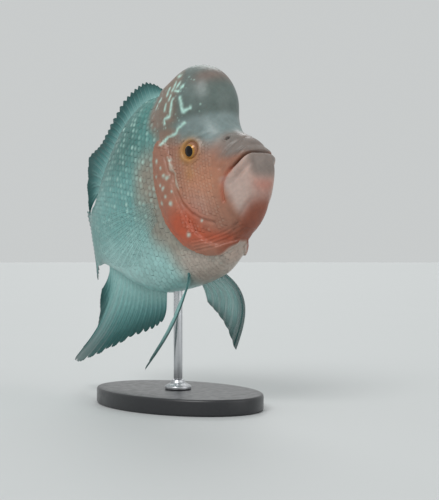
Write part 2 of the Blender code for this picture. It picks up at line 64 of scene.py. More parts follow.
# The fish's pose and size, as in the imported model; its length and the snout's place are in metres
STANDARD_LENGTH = 0.200
NOSE_UP = math.radians(12)
TAIL_SWING = math.radians(46)
SWING_START, SWING_END, SWING_POWER = 0.55, 1.22, 1.4
SNOUT_X, SNOUT_HEIGHT = 0.080910, 0.148800
GAP_SHARE = 0.0015

# The body's outline and thickness, each as (s, size)
BACK = ((0, 0.024), (0.002, 0.034), (0.008, 0.046), (0.018, 0.060), (0.032, 0.088), (0.05, 0.106),
        (0.09, 0.132), (0.13, 0.172), (0.20, 0.252), (0.28, 0.308), (0.38, 0.345), (0.47, 0.350),
        (0.56, 0.328), (0.66, 0.272), (0.76, 0.198), (0.85, 0.135), (0.92, 0.108), (1.00, 0.106))
BELLY = ((0, 0.012), (0.002, -0.002), (0.006, -0.022), (0.020, -0.068), (0.049, -0.124), (0.090, -0.166),
         (0.135, -0.192), (0.165, -0.212), (0.20, -0.250), (0.27, -0.281), (0.38, -0.291), (0.48, -0.290),
         (0.56, -0.274), (0.66, -0.232), (0.76, -0.176), (0.85, -0.132), (0.92, -0.110), (1.00, -0.106))
HALF_WIDTH = ((0, 0.012), (0.002, 0.026), (0.006, 0.040), (0.02, 0.055), (0.06, 0.071), (0.12, 0.086),
              (0.20, 0.103), (0.30, 0.122), (0.37, 0.125), (0.46, 0.118), (0.56, 0.101), (0.66, 0.079),
              (0.76, 0.057), (0.86, 0.038), (0.93, 0.028), (0.97, 0.019), (1.00, 0.008))
WIDEST_LEVEL = ((0, 0.016), (0.02, 0.018), (0.10, 0.020), (0.22, 0.040), (0.36, 0.040), (0.60, 0.030),
                (1.00, 0))
BACK_ROUNDNESS, BELLY_ROUNDNESS = 2.0, 2.25

# The mouth, the eye and the nostril
MOUTH_LINE = ((0, 0.047), (0.012, 0.047), (0.030, 0.036), (0.045, 0.025), (0.062, 0.014), (0.096, -0.006))
EYE_S, EYE_LEVEL, EYE_RADIUS, EYE_BULGE = 0.212, 0.100, 0.0325, 0.011
EYE, NOSTRIL = (EYE_S, EYE_LEVEL), (0.095, 0.108)

# The nuchal hump
HUMP_CENTRE = (0.284, 0.215)
HUMP_HALF_LENGTH, HUMP_HEIGHT, HUMP_LEAN, HUMP_HALF_WIDTH = 0.165, 0.172, 0.038, 0.112
HUMP_FOOT = ((0.095, 0.082), (0.120, 0.095), (0.140, 0.104), (0.160, 0.110), (0.185, HUMP_HALF_WIDTH))
HUMP_NAPE, HUMP_ROUNDNESS = 0.026, 2.2

# The gill covers, as (angle from the back in degrees, s) for the front line and the free rear edge
COVER_FRONT = ((65, 0.312), (70, 0.298), (78, 0.289), (95, 0.279), (115, 0.258), (135, 0.215), (155, 0.167),
               (172, 0.136))
COVER_REAR = ((65, 0.334), (70, 0.349), (78, 0.356), (90, 0.359), (108, 0.346), (127, 0.300), (140, 0.250),
              (155, 0.200), (172, 0.160))
COVER_PLATE, COVER_FLARE, COVER_EDGE, COVER_SEAT = 0.0080, 0.0090, 0.0026, 1.3 * GAP_SHARE


def curve(points, at):
    """Reads a smooth curve through the points at each place; it never swings past them."""
    xs, ys = np.array(points, float).T
    at = np.clip(np.asarray(at, float), xs[0], xs[-1])
    slopes = np.diff(ys) / np.diff(xs)
    left, right = slopes[:-1], slopes[1:]
    alike = left * right > 0
    inner = np.where(alike, 2 * left * right / np.where(alike, left + right, 1), 0)
    tangents = np.concatenate((slopes[:1], inner, slopes[-1:]))
    k = np.clip(np.searchsorted(xs, at, "left") - 1, 0, len(xs) - 2)
    span = xs[k + 1] - xs[k]
    t = (at - xs[k]) / span
    return (ys[k] * (1 + 2 * t) * (1 - t) ** 2 + ys[k + 1] * t * t * (3 - 2 * t)
            + span * t * (1 - t) * ((1 - t) * tangents[k] - t * tangents[k + 1]))


def ease(low, high, at):
    """0 before low, 1 after high, and a soft step between them."""
    t = np.clip((np.asarray(at, float) - low) / (high - low), 0, 1)
    return t * t * (3 - 2 * t)


def hill(at, centre, spread):
    """Soft bump, 1 at the centre."""
    return np.exp(-((at - centre) / spread) ** 2)


def power_of(value, power):
    """Power of a number that keeps its sign."""
    return np.sign(value) * np.abs(value) ** power


TURN_AT = np.linspace(0, 1, 1500)
TURNS = TAIL_SWING * (TURN_AT / (SWING_END - SWING_START)) ** SWING_POWER


def run_of(values):
    """Running integral of values along TURN_AT."""
    return np.concatenate(([0], np.cumsum((values[1:] + values[:-1]) / 2 * np.diff(TURN_AT))))


LINE_BACK, LINE_SIDE = run_of(np.cos(TURNS)), run_of(np.sin(TURNS))


def spine(s):
    """Centre line (x, y) and turn of the body at s; behind SWING_START the tail swings to the left."""
    behind = np.maximum(s - SWING_START, 0)
    return (-np.minimum(s, SWING_START) - np.interp(behind, TURN_AT, LINE_BACK),
            np.interp(behind, TURN_AT, LINE_SIDE), np.interp(behind, TURN_AT, TURNS))


def place(s, y, z):
    """Sets points of the fish's own layout in the world, in metres."""
    s, y, z = np.broadcast_arrays(s, y, z)
    line_x, line_y, turn = spine(s)
    x, side = line_x + y * np.sin(turn), line_y + y * np.cos(turn)
    return np.stack(((x * math.cos(NOSE_UP) - z * math.sin(NOSE_UP)) * STANDARD_LENGTH + SNOUT_X,
                     side * STANDARD_LENGTH,
                     (x * math.sin(NOSE_UP) + z * math.cos(NOSE_UP)) * STANDARD_LENGTH + SNOUT_HEIGHT), -1)


def unplace(points):
    """Reads world points back as (s, y, z) of the fish's own layout."""
    along, side, up = ((points - (SNOUT_X, 0, SNOUT_HEIGHT)) / STANDARD_LENGTH).T
    x = along * math.cos(NOSE_UP) + up * math.sin(NOSE_UP)
    s = -x
    for _ in range(8):
        line_x, line_y, turn = spine(s)
        s = s + (line_x - x) * np.cos(turn) + (side - line_y) * np.sin(turn)
    line_x, line_y, turn = spine(s)
    return s, (x - line_x) * np.sin(turn) + (side - line_y) * np.cos(turn), \
        up * math.cos(NOSE_UP) - along * math.sin(NOSE_UP)


def sections(s):
    """Back, belly, half width and widest level of the plain body at s."""
    return (curve(line, s) for line in (BACK, BELLY, HALF_WIDTH, WIDEST_LEVEL))


def body(s, angle, lift=0.0):
    """Plain body at s and an angle: 0 at the back, down the right side to pi at the belly, and on up."""
    s, angle = np.broadcast_arrays(s, angle)
    top, bottom, half, middle = sections(s)
    up, out = np.cos(angle), -np.sin(angle)
    rise = np.where(up > 0, top - middle, middle - bottom)
    power = 2 / np.where(up > 0, BACK_ROUNDNESS, BELLY_ROUNDNESS)
    y, z = half * power_of(out, power), middle + rise * power_of(up, power)
    normal_y, normal_z = y / half ** 2, (z - middle) / rise ** 2
    length = np.maximum(np.hypot(normal_y, normal_z), 1e-9)
    return s, y + normal_y / length * lift, z + normal_z / length * lift


def in_section(s, y, z):
    """Level of a point over the widest level, its shares of the width and rise, and the roundness."""
    top, bottom, half, middle = sections(s)
    level, upper = z - middle, z > middle
    rise = np.where(upper, top - middle, middle - bottom)
    return level, np.abs(y / half), level / rise, np.where(upper, BACK_ROUNDNESS, BELLY_ROUNDNESS)


def angle_of(s, y, z):
    """Angle from the back, 0 to pi, of a point near the plain body."""
    _, across, up, power = in_section(s, y, z)
    return np.arctan2(across ** (power / 2), power_of(up, power / 2))


def off_body(s, y, z):
    """About how high a point is over the plain body."""
    level, across, up, power = in_section(s, y, z)
    reach = (across ** power + np.abs(up) ** power) ** (1 / power)
    return (reach - 1) * np.hypot(y, level) / np.maximum(reach, 1e-6)


def hump_sizes(z):
    """Middle, reach to the front and to the rear, and half width of the hump's level section at z."""
    t = (z - HUMP_CENTRE[1]) / HUMP_HEIGHT
    round_off = np.sqrt(np.maximum(0, 1 - t * t))
    front = HUMP_HALF_LENGTH * round_off + 10 * np.maximum(0, 0.21 - z) ** 2
    rear = HUMP_HALF_LENGTH * round_off + HUMP_NAPE * hill(z, 0.337, 0.016) - 0.05 * ease(0.24, 0.16, z)
    half = np.where(t > 0, HUMP_HALF_WIDTH * round_off, curve(HUMP_FOOT, z))
    return HUMP_CENTRE[0] - HUMP_LEAN * t, front, rear, half


def on_hump(level, turn, inset=0.0):
    """Point (s, y, z) of the hump at a level and at a turn round it from its rear, set in by a share."""
    middle, front, rear, half = hump_sizes(level)
    reach = np.where(np.cos(turn) > 0, rear, front) - inset
    return (middle + power_of(np.cos(turn), 2 / HUMP_ROUNDNESS) * reach,
            (half - inset) * power_of(np.sin(turn), 2 / HUMP_ROUNDNESS), level)


def off_hump(s, y, z):
    """About how far a point is outside the hump in its level section."""
    middle, front, rear, half = hump_sizes(np.clip(z, 0.09, HUMP_CENTRE[1] + 0.998 * HUMP_HEIGHT))
    back = s - middle
    along = np.abs(back) / np.where(back > 0, rear, front)
    reach = (along ** HUMP_ROUNDNESS + np.abs(y / half) ** HUMP_ROUNDNESS) ** (1 / HUMP_ROUNDNESS)
    return (reach - 1) * np.hypot(back, y) / np.maximum(reach, 1e-6) + np.maximum(0, 0.10 - z)


def cover_lift(u, v):
    """Height of a gill cover over the body at u from its front line and v down its length."""
    flare = COVER_FLARE * u ** 2.2 * (1 - 0.95 * ease(0.65, 1, v))
    belly = np.where(u < 0.83, np.sin(np.pi * np.minimum(1.0, 1.1 * u + 0.08)), 0) ** 0.6
    plate = COVER_PLATE * belly * (0.2 + 0.8 * np.sin(np.pi * np.minimum(1.0, v + 0.10)))
    return COVER_SEAT + flare + (COVER_EDGE + plate) * ease(0, 0.06, u)


def grid_faces(rows, columns, start=0, ring=False):
    """Triangles over a grid of points numbered row by row; a ring joins the last column to the first."""
    across = columns if ring else columns - 1
    i, j = np.meshgrid(np.arange(rows - 1), np.arange(across), indexing="ij")
    here, beside = start + i * columns + j, start + i * columns + (j + 1) % columns
    first = np.stack((here, beside, beside + columns), -1).reshape(-1, 3)
    second = np.stack((here, beside + columns, here + columns), -1).reshape(-1, 3)
    return np.concatenate((first, second))


def rim_of(rows, columns):
    """Numbers of the points round the edge of a grid, in order."""
    grid = np.arange(rows * columns).reshape(rows, columns)
    return np.concatenate((grid[0], grid[1:, -1], grid[-1, -2::-1], grid[-2:0:-1, 0]))


def fan(ring, centre):
    """Triangles from each side of a ring of points to a centre point."""
    ring = np.asarray(ring)
    return np.stack((ring, np.roll(ring, -1), np.full(len(ring), centre)), 1)


def facing_out(points, faces):
    """The faces of one closed surface, turned over if they face inwards."""
    a, b, c = (points[faces[:, k]] - points.mean(0) for k in range(3))
    return faces if np.einsum("ij,ij->", a, np.cross(b, c)) > 0 else faces[:, ::-1]


def tube(rings):
    """Closed surface over a row of rings of points, each end drawn to its middle."""
    rows, sides = rings.shape[:2]
    points = np.concatenate((rings.reshape(-1, 3), rings[0].mean(0)[None], rings[-1].mean(0)[None]))
    last = (rows - 1) * sides
    faces = np.concatenate((grid_faces(rows, sides, ring=True), fan(range(sides), rows * sides)[:, ::-1],
                            fan(range(last, last + sides), rows * sides + 1)))
    return points, facing_out(points, faces)


def two_faced(near, far):
    """Thin closed surface between two grids of points, with the same triangles on both."""
    rows, columns = near.shape[:2]
    count, rim = rows * columns, rim_of(rows, columns)
    beside = np.roll(rim, -1)
    walls = (np.stack((rim, beside, beside + count), 1), np.stack((rim, beside + count, rim + count), 1))
    faces = np.concatenate((grid_faces(rows, columns)[:, ::-1], grid_faces(rows, columns, count), *walls))
    points = np.concatenate((near.reshape(-1, 3), far.reshape(-1, 3)))
    return points, facing_out(points, faces)


def joined(shells):
    """One list of points and one of faces from several closed surfaces."""
    points, faces, start = [], [], 0
    for shell_points, shell_faces in shells:
        points.append(shell_points)
        faces.append(shell_faces + start)
        start += len(shell_points)
    return np.concatenate(points), np.concatenate(faces)


def new_mesh(name, points, faces):
    mesh = bpy.data.meshes.new(name)
    sides = faces.shape[1]
    mesh.vertices.add(len(points))
    mesh.vertices.foreach_set("co", np.ascontiguousarray(points, np.float32).ravel())
    mesh.loops.add(faces.size)
    mesh.polygons.add(len(faces))
    mesh.polygons.foreach_set("loop_start", np.arange(0, faces.size, sides, dtype=np.int32))
    mesh.loops.foreach_set("vertex_index", np.ascontiguousarray(faces, np.int32).ravel())
    mesh.update(calc_edges=True)
    mesh.shade_smooth()
    return mesh


def points_of(mesh, what="co"):
    found = np.empty(len(mesh.vertices) * 3, np.float32)
    mesh.vertices.foreach_get(what, found)
    return found.reshape(-1, 3).astype(float)


def set_points(mesh, points):
    mesh.vertices.foreach_set("co", np.ascontiguousarray(points, np.float32).ravel())
    mesh.update()


def set_tone(mesh, tone):
    """Stores the painted colour and, as its alpha, the pearly shine of each point."""
    layer = mesh.color_attributes.new("tone", "FLOAT_COLOR", "POINT")
    layer.data.foreach_set("color", np.ascontiguousarray(np.clip(tone, 0, 1), np.float32).ravel())


def evaluated_mesh(piece):
    """Replaces an object's mesh by what its modifiers make of it."""
    bpy.context.view_layer.update()
    made = bpy.data.meshes.new_from_object(piece.evaluated_get(bpy.context.evaluated_depsgraph_get()))
    piece.modifiers.clear()
    piece.data = made
    return made


def put(name, mesh, finish, slot, *nodes):
    """Sets a finished mesh into the scene as a piece that rides on the model, in place of its solids."""
    old = bpy.data.objects.get(name)
    if old:
        bpy.data.objects.remove(old)
    piece = bpy.data.objects.new(name, mesh)
    bpy.context.scene.collection.objects.link(piece)
    piece.data.materials.clear()
    piece.data.materials.append(finish)
    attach(piece, "root")
    if nodes:
        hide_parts(*nodes)
    return piece


def relax(points, edges, share, rounds):
    """Moves each point by a share of the way to the middle of its neighbours; two shares take turns."""
    a, b = edges.T
    shares = share if isinstance(share, tuple) else (share,)
    size = len(points)
    count = (np.bincount(a, minlength=size) + np.bincount(b, minlength=size))[:, None]
    for turn in range(rounds):
        total = np.stack([np.bincount(a, points[b, k], size) + np.bincount(b, points[a, k], size)
                          for k in range(3)], 1)
        points = points + shares[turn % len(shares)] * (total / count - points)
    return points


def linear(rgb):
    rgb = np.asarray(rgb, float)
    return np.where(rgb <= 0.04045, rgb / 12.92, ((rgb + 0.055) / 1.055) ** 2.4)


class Finish:
    """A material under construction: short names for its nodes and links."""

    def __init__(self, name):
        self.material = bpy.data.materials.new(name)
        self.material.use_nodes = True
        self.tree = self.material.node_tree
        self.shader = self.tree.nodes["Principled BSDF"]

    def node(self, kind, **settings):
        made = self.tree.nodes.new("ShaderNode" + kind)
        for key, value in settings.items():
            if hasattr(made, key):
                setattr(made, key, value)
            else:
                made.inputs[key.replace("_", " ").title()].default_value = value
        return made

    def link(self, out, into):
        self.tree.links.new(out, into)

    def set(self, **values):
        for key, value in values.items():
            self.shader.inputs[key.replace("_", " ")].default_value = value

    def noise(self, scale, detail=2.0, roughness=0.5, stretch=None):
        """Noise in the object's own metres; scale is its number of waves a metre."""
        made = self.node("TexNoise", scale=scale, detail=detail, roughness=roughness)
        where = self.node("TexCoord").outputs["Object"]
        if stretch:
            mapping = self.node("Mapping")
            mapping.inputs["Scale"].default_value = stretch
            self.link(where, mapping.inputs["Vector"])
            where = mapping.outputs["Vector"]
        self.link(where, made.inputs["Vector"])
        return made.outputs["Fac"]

    def spread(self, value, low, high):
        """A noise's usual range, 0.3 to 0.7, spread from low to high."""
        made = self.node("MapRange")
        for key, number in (("From Min", 0.3), ("From Max", 0.7), ("To Min", low), ("To Max", high)):
            made.inputs[key].default_value = number
        self.link(value, made.inputs["Value"])
        return made.outputs["Result"]

    def times(self, colour, value):
        """Colour made lighter or darker by a value."""
        made = self.node("VectorMath", operation="SCALE")
        self.link(colour, made.inputs[0])
        self.link(value, made.inputs["Scale"])
        return made.outputs["Vector"]

    def blend(self, first, second, share):
        """Base colour that runs between two colours."""
        made = self.node("Mix", data_type="RGBA")
        made.inputs["A"].default_value, made.inputs["B"].default_value = (*first, 1), (*second, 1)
        self.link(share, made.inputs["Factor"])
        self.link(made.outputs["Result"], self.shader.inputs["Base Color"])

    def reckon(self, operation, value, *numbers):
        """Result of a sum of a value with plain numbers or other values."""
        made = self.node("Math", operation=operation)
        self.link(value, made.inputs[0])
        for index, number in enumerate(numbers, 1):
            if isinstance(number, float):
                made.inputs[index].default_value = number
            else:
                self.link(number, made.inputs[index])
        return made.outputs[0]

    def bump(self, height, strength, distance, after=None):
        made = self.node("Bump")
        made.inputs["Strength"].default_value = strength
        made.inputs["Distance"].default_value = distance
        self.link(height, made.inputs["Height"])
        if after:
            self.link(after, made.inputs["Normal"])
        return made.outputs["Normal"]


PEARL_SMOOTHS, PEARL_METAL = 0.12, 0.45


def painted(name, mottle, roughness, bumps, **sockets):
    """Wet finish over the painted tone, mottled by noise, finely bumped, and shinier where it is pearly.

    mottle is (waves a metre, darkest, lightest), roughness (least, most) and bumps rows of
    (waves a metre, strength, distance in metres).
    """
    finish = Finish(name)
    tone = finish.node("Attribute", attribute_name="tone")
    scale, low, high = mottle
    colour = finish.times(tone.outputs["Color"], finish.spread(finish.noise(scale, 3), low, high))
    finish.link(colour, finish.shader.inputs["Base Color"])
    dull = finish.spread(finish.noise(scale * 2.3), *roughness)
    pearly = tone.outputs["Alpha"]
    dull = finish.reckon("MULTIPLY_ADD", pearly, -PEARL_SMOOTHS, dull)
    finish.link(dull, finish.shader.inputs["Roughness"])
    finish.link(finish.reckon("MULTIPLY", pearly, PEARL_METAL), finish.shader.inputs["Metallic"])
    normal = None
    for bump_scale, strength, distance in bumps:
        normal = finish.bump(finish.noise(bump_scale, 2), strength, distance, normal)
    finish.link(normal, finish.shader.inputs["Normal"])
    finish.set(**sockets)
    return finish.material


def base_tone(colour, pearly, count):
    """A tone of one colour and pearly shine for a number of points."""
    return np.tile((*linear(colour), pearly), (count, 1))


def paint(tone, colour, share):
    """Lays a colour over the tone, by a share from 0 to 1 at each point."""
    share = np.clip(share, 0, 1)[:, None]
    tone[:, :3] += (linear(colour) - tone[:, :3]) * share


def to_line(line, s, z):
    """Distance from each point to a line through the (s, z) points."""
    line = np.array(line, float)
    nearest = np.full(len(s), 9.0)
    for (s0, z0), (s1, z1) in zip(line, line[1:]):
        ds, dz = s1 - s0, z1 - z0
        t = np.clip(((s - s0) * ds + (z - z0) * dz) / (ds * ds + dz * dz), 0, 1)
        nearest = np.minimum(nearest, np.hypot(s - s0 - t * ds, z - z0 - t * dz))
    return nearest


def from_point(point, s, z):
    """Distance of each place from a point (s, z)."""
    return np.hypot(s - point[0], z - point[1])


def along(line, s, z, spread):
    """Soft stripe along a line, 1 at its middle."""
    return hill(to_line(line, s, z), 0, spread)


def blot(s, z, centre, size, tilt=0):
    """Soft oval patch round a centre (s, z), 1 at its middle; the tilt in degrees lifts its rear."""
    c, d = math.cos(math.radians(tilt)), math.sin(math.radians(tilt))
    back, up = s - centre[0], z - centre[1]
    return np.exp(-(((back * c + up * d) / size[0]) ** 2 + ((up * c - back * d) / size[1]) ** 2))


# Folds and pearly marks of the head, as lines of (s, z) on its side
CHEEK_RIDGE = ((0.292, 0.100), (0.288, 0.087), (0.284, 0.060), (0.273, 0.043), (0.276, 0.018),
               (0.270, -0.008), (0.258, -0.048), (0.236, -0.082), (0.205, -0.108), (0.170, -0.124))
CHEEK_FOLD = ((0.074, 0.008), (0.094, -0.006), (0.110, -0.026), (0.119, -0.050), (0.122, -0.078))
THROAT_LINE = ((0.000, -0.058), (0.025, -0.080), (0.070, -0.114), (0.114, -0.154), (0.163, -0.190))
LIP_FOLD = ((0.055, 0.098), (0.085, 0.074), (0.104, 0.046), (0.112, 0.020))
THROAT_FOLDS = [[(0.10 + 0.052 * k, -0.148 - 0.010 * fold - 0.020 * k + 0.004 * k * k) for k in range(4)]
                for fold in range(4)]
BREAST_EDGE = ((0.150, -0.185), (0.200, -0.170), (0.250, -0.150))
STREAK = ((0.319, 0.147), (0.296, 0.162), (0.261, 0.165), (0.242, 0.180), (0.219, 0.189))
WORMS = (((0.254, 0.276), (0.264, 0.252), (0.273, 0.225), (0.302, 0.222), (0.304, 0.211)),
         ((0.221, 0.270), (0.219, 0.247), (0.217, 0.224), (0.189, 0.230)),
         ((0.257, 0.335), (0.257, 0.319), (0.264, 0.309)), ((0.212, 0.306), (0.221, 0.303)),
         ((0.326, 0.297), (0.336, 0.293)), ((0.346, 0.282), (0.353, 0.277)),
         ((0.236, 0.324), (0.243, 0.311)), ((0.231, 0.294), (0.246, 0.300)),
         ((0.268, 0.292), (0.275, 0.281)), ((0.284, 0.320), (0.288, 0.302)),
         ((0.290, 0.268), (0.297, 0.254)), ((0.246, 0.352), (0.256, 0.356)))
# Pearly spots of the gill cover, each as (s, z, radius)
COVER_SPOTS = ((0.288, 0.087, 0.0055), (0.312, 0.046, 0.0065), (0.300, 0.034, 0.0060),
               (0.320, 0.006, 0.0050), (0.301, -0.045, 0.0055), (0.338, -0.034, 0.0050),
               (0.335, 0.099, 0.0060), (0.322, 0.072, 0.0040), (0.330, 0.020, 0.0040),
               (0.290, -0.010, 0.0038), (0.316, -0.020, 0.0042), (0.262, -0.152, 0.0055),
               (0.215, -0.118, 0.0050), (0.345, 0.050, 0.0045))


class Colours(bpy.types.PropertyGroup):
    """Colours that the fish and its studio are painted with."""

    def shade(name, text, red, green, blue):
        return FloatVectorProperty(name=name, description=text, subtype="COLOR_GAMMA", size=3, min=0, max=1,
                                   default=(red / 255, green / 255, blue / 255))

    flank: shade("Flank", "Scales along the middle of the side", 100, 160, 156)
    back: shade("Back", "Scales under the dorsal fin", 48, 112, 106)
    nape: shade("Nape", "Scales behind the hump", 62, 128, 122)
    belly: shade("Belly", "Pale scales of the belly and breast", 160, 206, 202)
    halo: shade("Halo", "Warm band of scales behind the gill cover", 148, 130, 114)
    breast: shade("Breast", "Rosy skin in front of the pelvic fins", 184, 170, 158)
    head: shade("Head", "Rosy brown of the upper cheek and gill cover", 150, 104, 84)
    cheek: shade("Cheek", "Orange brown of the cheek", 184, 124, 94)
    ember: shade("Ember", "Orange red of the lower gill cover", 176, 80, 48)
    throat: shade("Throat", "Dark red of the throat and chin", 138, 72, 48)
    jaw: shade("Jaw", "Pale pink of the lower jaw", 186, 162, 152)
    # The snout's mauve is also laid as painted shade over the front of the lower lip.
    snout: shade("Snout", "Mauve of the snout and upper lip", 118, 107, 100)
    brow: shade("Brow", "Blue grey between the hump and the snout", 120, 136, 135)
    hump: shade("Hump", "Grey of the hump's front", 88, 102, 97)
    hump_rose: shade("Hump rose", "Rosy brown of the hump's rear", 126, 108, 94)
    gold: shade("Gold", "Gold of the iris and the skin round the eye", 178, 128, 52)
    pearl: shade("Pearl", "Pale aqua of the pearly marks", 196, 236, 224)
    fin: shade("Fin", "Grey teal membrane of the fins", 46, 112, 111)
    fin_edge: shade("Fin edge", "Dark green teal of the fins' margins", 6, 70, 68)
    fin_ray: shade("Fin ray", "Pale teal of the fin rays", 128, 178, 174)
    # The pupil's near black is also laid as painted shade along the mouth's line, in the nostril pits and
    # round the eye's sunk rim.
    pupil: shade("Pupil", "The pupil of the eye", 14, 8, 8)
    floor: shade("Floor", "The studio's floor", 197, 200, 200)


class Sizes(bpy.types.PropertyGroup):
    """Sizes of the fish's finer forms."""

    def metres(name, text, default, low, high):
        return FloatProperty(name=name, description=text, default=default, min=low, max=high, precision=5,
                             unit="LENGTH")

    voxel: metres("Skin detail", "Side of the cells that the skin is cast from", 0.00055, 0.0004, 0.002)
    scale_length: metres("Scale spacing", "Distance between scales along the flank", 0.0043, 0.003, 0.01)
    scale_width: metres("Row spacing", "Distance between rows of flank scales", 0.0040, 0.003, 0.01)
    scale_rise: metres("Scale rise", "Height of a flank scale's free edge over the skin", 0.00042, 0, 0.001)
    lip_swell: metres("Lip swell", "How far the lips stand out of the face", 0.0016, 0, 0.004)
    mouth_depth: metres("Mouth depth", "Depth of the closed mouth's line", 0.0034, 0, 0.006)
    specks: IntProperty(name="Hump specks", description="Number of small pearly specks on the hump",
                        default=340, min=0, max=600)


def colours():
    return bpy.context.scene.flowerhorn_colours


def sizes():
    return bpy.context.scene.flowerhorn_sizes


WEDGE_DEPTH, WEDGE_INSET = 0.02, 0.007


def gill_wedge(side):
    """Gill cover as a closed wedge: flush in front, flared at its free rear edge, sunk in the body."""
    rows, columns = 34, 100
    u, v = np.meshgrid(np.linspace(0, 1, rows), np.linspace(0, 1, columns), indexing="ij")
    degrees = COVER_FRONT[0][0] + (COVER_FRONT[-1][0] - COVER_FRONT[0][0]) * v
    front, rear = curve(COVER_FRONT, degrees), curve(COVER_REAR, degrees)
    inner_u = np.minimum(u, 1 - WEDGE_INSET / (rear - front) * ease(0, 0.1, v) * ease(1, 0.9, v))
    shells = []
    for share, lift in ((u, cover_lift(u, v) - COVER_SEAT * ease(0.9, 0.1, u)), (inner_u, -WEDGE_DEPTH)):
        s, y, z = body(front + (rear - front) * share, np.radians(degrees), lift)
        shells.append(place(s, -side * y, z))
    return two_faced(*shells)


def cast_skin():
    """Body, hump and gill covers cast as one closed skin, with soft creases where they meet."""
    stations = 1 - np.cos(np.linspace(0, 1, 200) * np.pi / 2)
    stations = np.concatenate((np.linspace(0, 0.02, 12)[:-1], 0.02 + 0.98 * stations))
    turns = np.linspace(0, 2 * np.pi, 160, endpoint=False)
    trunk = tube(place(*body(stations[:, None], turns[None], -GAP_SHARE)))

    climb = np.sin(np.radians(np.linspace(0, 89, 40)))
    levels = np.concatenate((np.linspace(0.100, 0.210, 16), HUMP_CENTRE[1] + HUMP_HEIGHT * climb))
    turns = np.linspace(0, 2 * np.pi, 120, endpoint=False)
    dome = tube(place(*on_hump(levels[:, None], turns[None], GAP_SHARE)))

    shells = joined((trunk, dome, gill_wedge(-1), gill_wedge(1)))
    piece = bpy.data.objects.new("cast", new_mesh("cast", *shells))
    bpy.context.scene.collection.objects.link(piece)
    cast = piece.modifiers.new("cast", "REMESH")
    cast.mode = "VOXEL"
    cast.voxel_size = sizes().voxel
    mesh = evaluated_mesh(piece)
    bpy.data.objects.remove(piece)
    return mesh


def edges_of(mesh):
    edges = np.empty(len(mesh.edges) * 2, np.int32)
    mesh.edges.foreach_get("vertices", edges)
    return edges.reshape(-1, 2)


def mouth_level(s):
    return curve(MOUTH_LINE, s)


def split_where(mesh, wanted):
    """Divides each face that has a wanted corner, once, so that fine forms keep their edge."""
    fine = bmesh.new()
    fine.from_mesh(mesh)
    fine.verts.ensure_lookup_table()
    chosen = {edge for index in np.flatnonzero(wanted) for edge in fine.verts[index].link_edges}
    chosen = sorted(chosen, key=lambda edge: edge.index)
    bmesh.ops.subdivide_edges(fine, edges=chosen, cuts=1, use_grid_fill=True)
    bmesh.ops.triangulate(fine, faces=[face for face in fine.faces if len(face.verts) > 4])
    fine.to_mesh(mesh)
    fine.free()


def behind_ridge(s, z):
    """How far a point lies behind the ridge of the cheek."""
    ridge_s, ridge_z = np.array(CHEEK_RIDGE[::-1]).T
    return s - np.interp(z, ridge_z, ridge_s)


def head_relief(s, z, forward):
    """Height in metres of the head's lips, folds, rims and pits over the cast skin."""
    height = np.zeros(len(s))
    above = z - mouth_level(s)
    lips = (1 - ease(0.050, 0.106, s)) * (1 - 0.75 * ease(0.5, 0.95, forward))
    height += sizes().lip_swell * lips * (0.8 * hill(above, 0.0150, 0.0125) + hill(above, -0.0145, 0.0125))
    height -= 0.0007 * lips * hill(above, 0.034, 0.006)
    height -= 0.0009 * lips * hill(above, -0.036, 0.008) * ease(0.0, 0.03, s)
    height -= sizes().mouth_depth * (1 - ease(0.046, 0.082, s)) * hill(above, 0, 0.0042)

    height -= 0.0011 * along(CHEEK_FOLD, s, z, 0.0048)
    height += 0.0007 * blot(s, z, (0.100, -0.026), (0.012, 0.030), 20)
    height -= 0.0008 * along(LIP_FOLD, s, z, 0.006)

    from_eye = from_point(EYE, s, z)
    height += 0.0007 * hill(from_eye, 0.032, 0.0065) - 0.0052 * hill(from_eye, 0, 0.0185)
    height -= 0.0003 * hill(from_eye, 0.046, 0.007)
    height += 0.0008 * blot(s, z, (0.190, 0.136), (0.030, 0.007), -8)

    from_nostril = from_point(NOSTRIL, s, z)
    height += 0.0006 * hill(from_nostril, 0.0085, 0.0030) - 0.0022 * hill(from_nostril, 0, 0.0050)

    ridge = to_line(CHEEK_RIDGE, s, z)
    behind = ease(0, 0.004, behind_ridge(s, z))
    height += 0.0005 * hill(ridge, 0, 0.0070) - 0.0006 * hill(ridge, 0.010, 0.0060) * behind
    height -= 0.0007 * along(THROAT_LINE, s, z, 0.006) * ease(0.02, 0.06, s)
    for fold in THROAT_FOLDS:
        height -= 0.00035 * along(fold, s, z, 0.0035)
    return height


def waves(s, y, z, length, seed):
    """Sum of a few seeded waves over the fish, from about -1 to 1, of about one length."""
    draw = np.random.default_rng(seed)
    total = np.zeros(np.shape(s))
    for _ in range(7):
        direction = draw.normal(size=3)
        direction *= draw.uniform(0.7, 1.3) * 2 * np.pi / length / np.linalg.norm(direction)
        total += np.sin(s * direction[0] + y * direction[1] + z * direction[2] + draw.uniform(0, 6.28))
    return total / 4


SPECK_REACH = 0.012


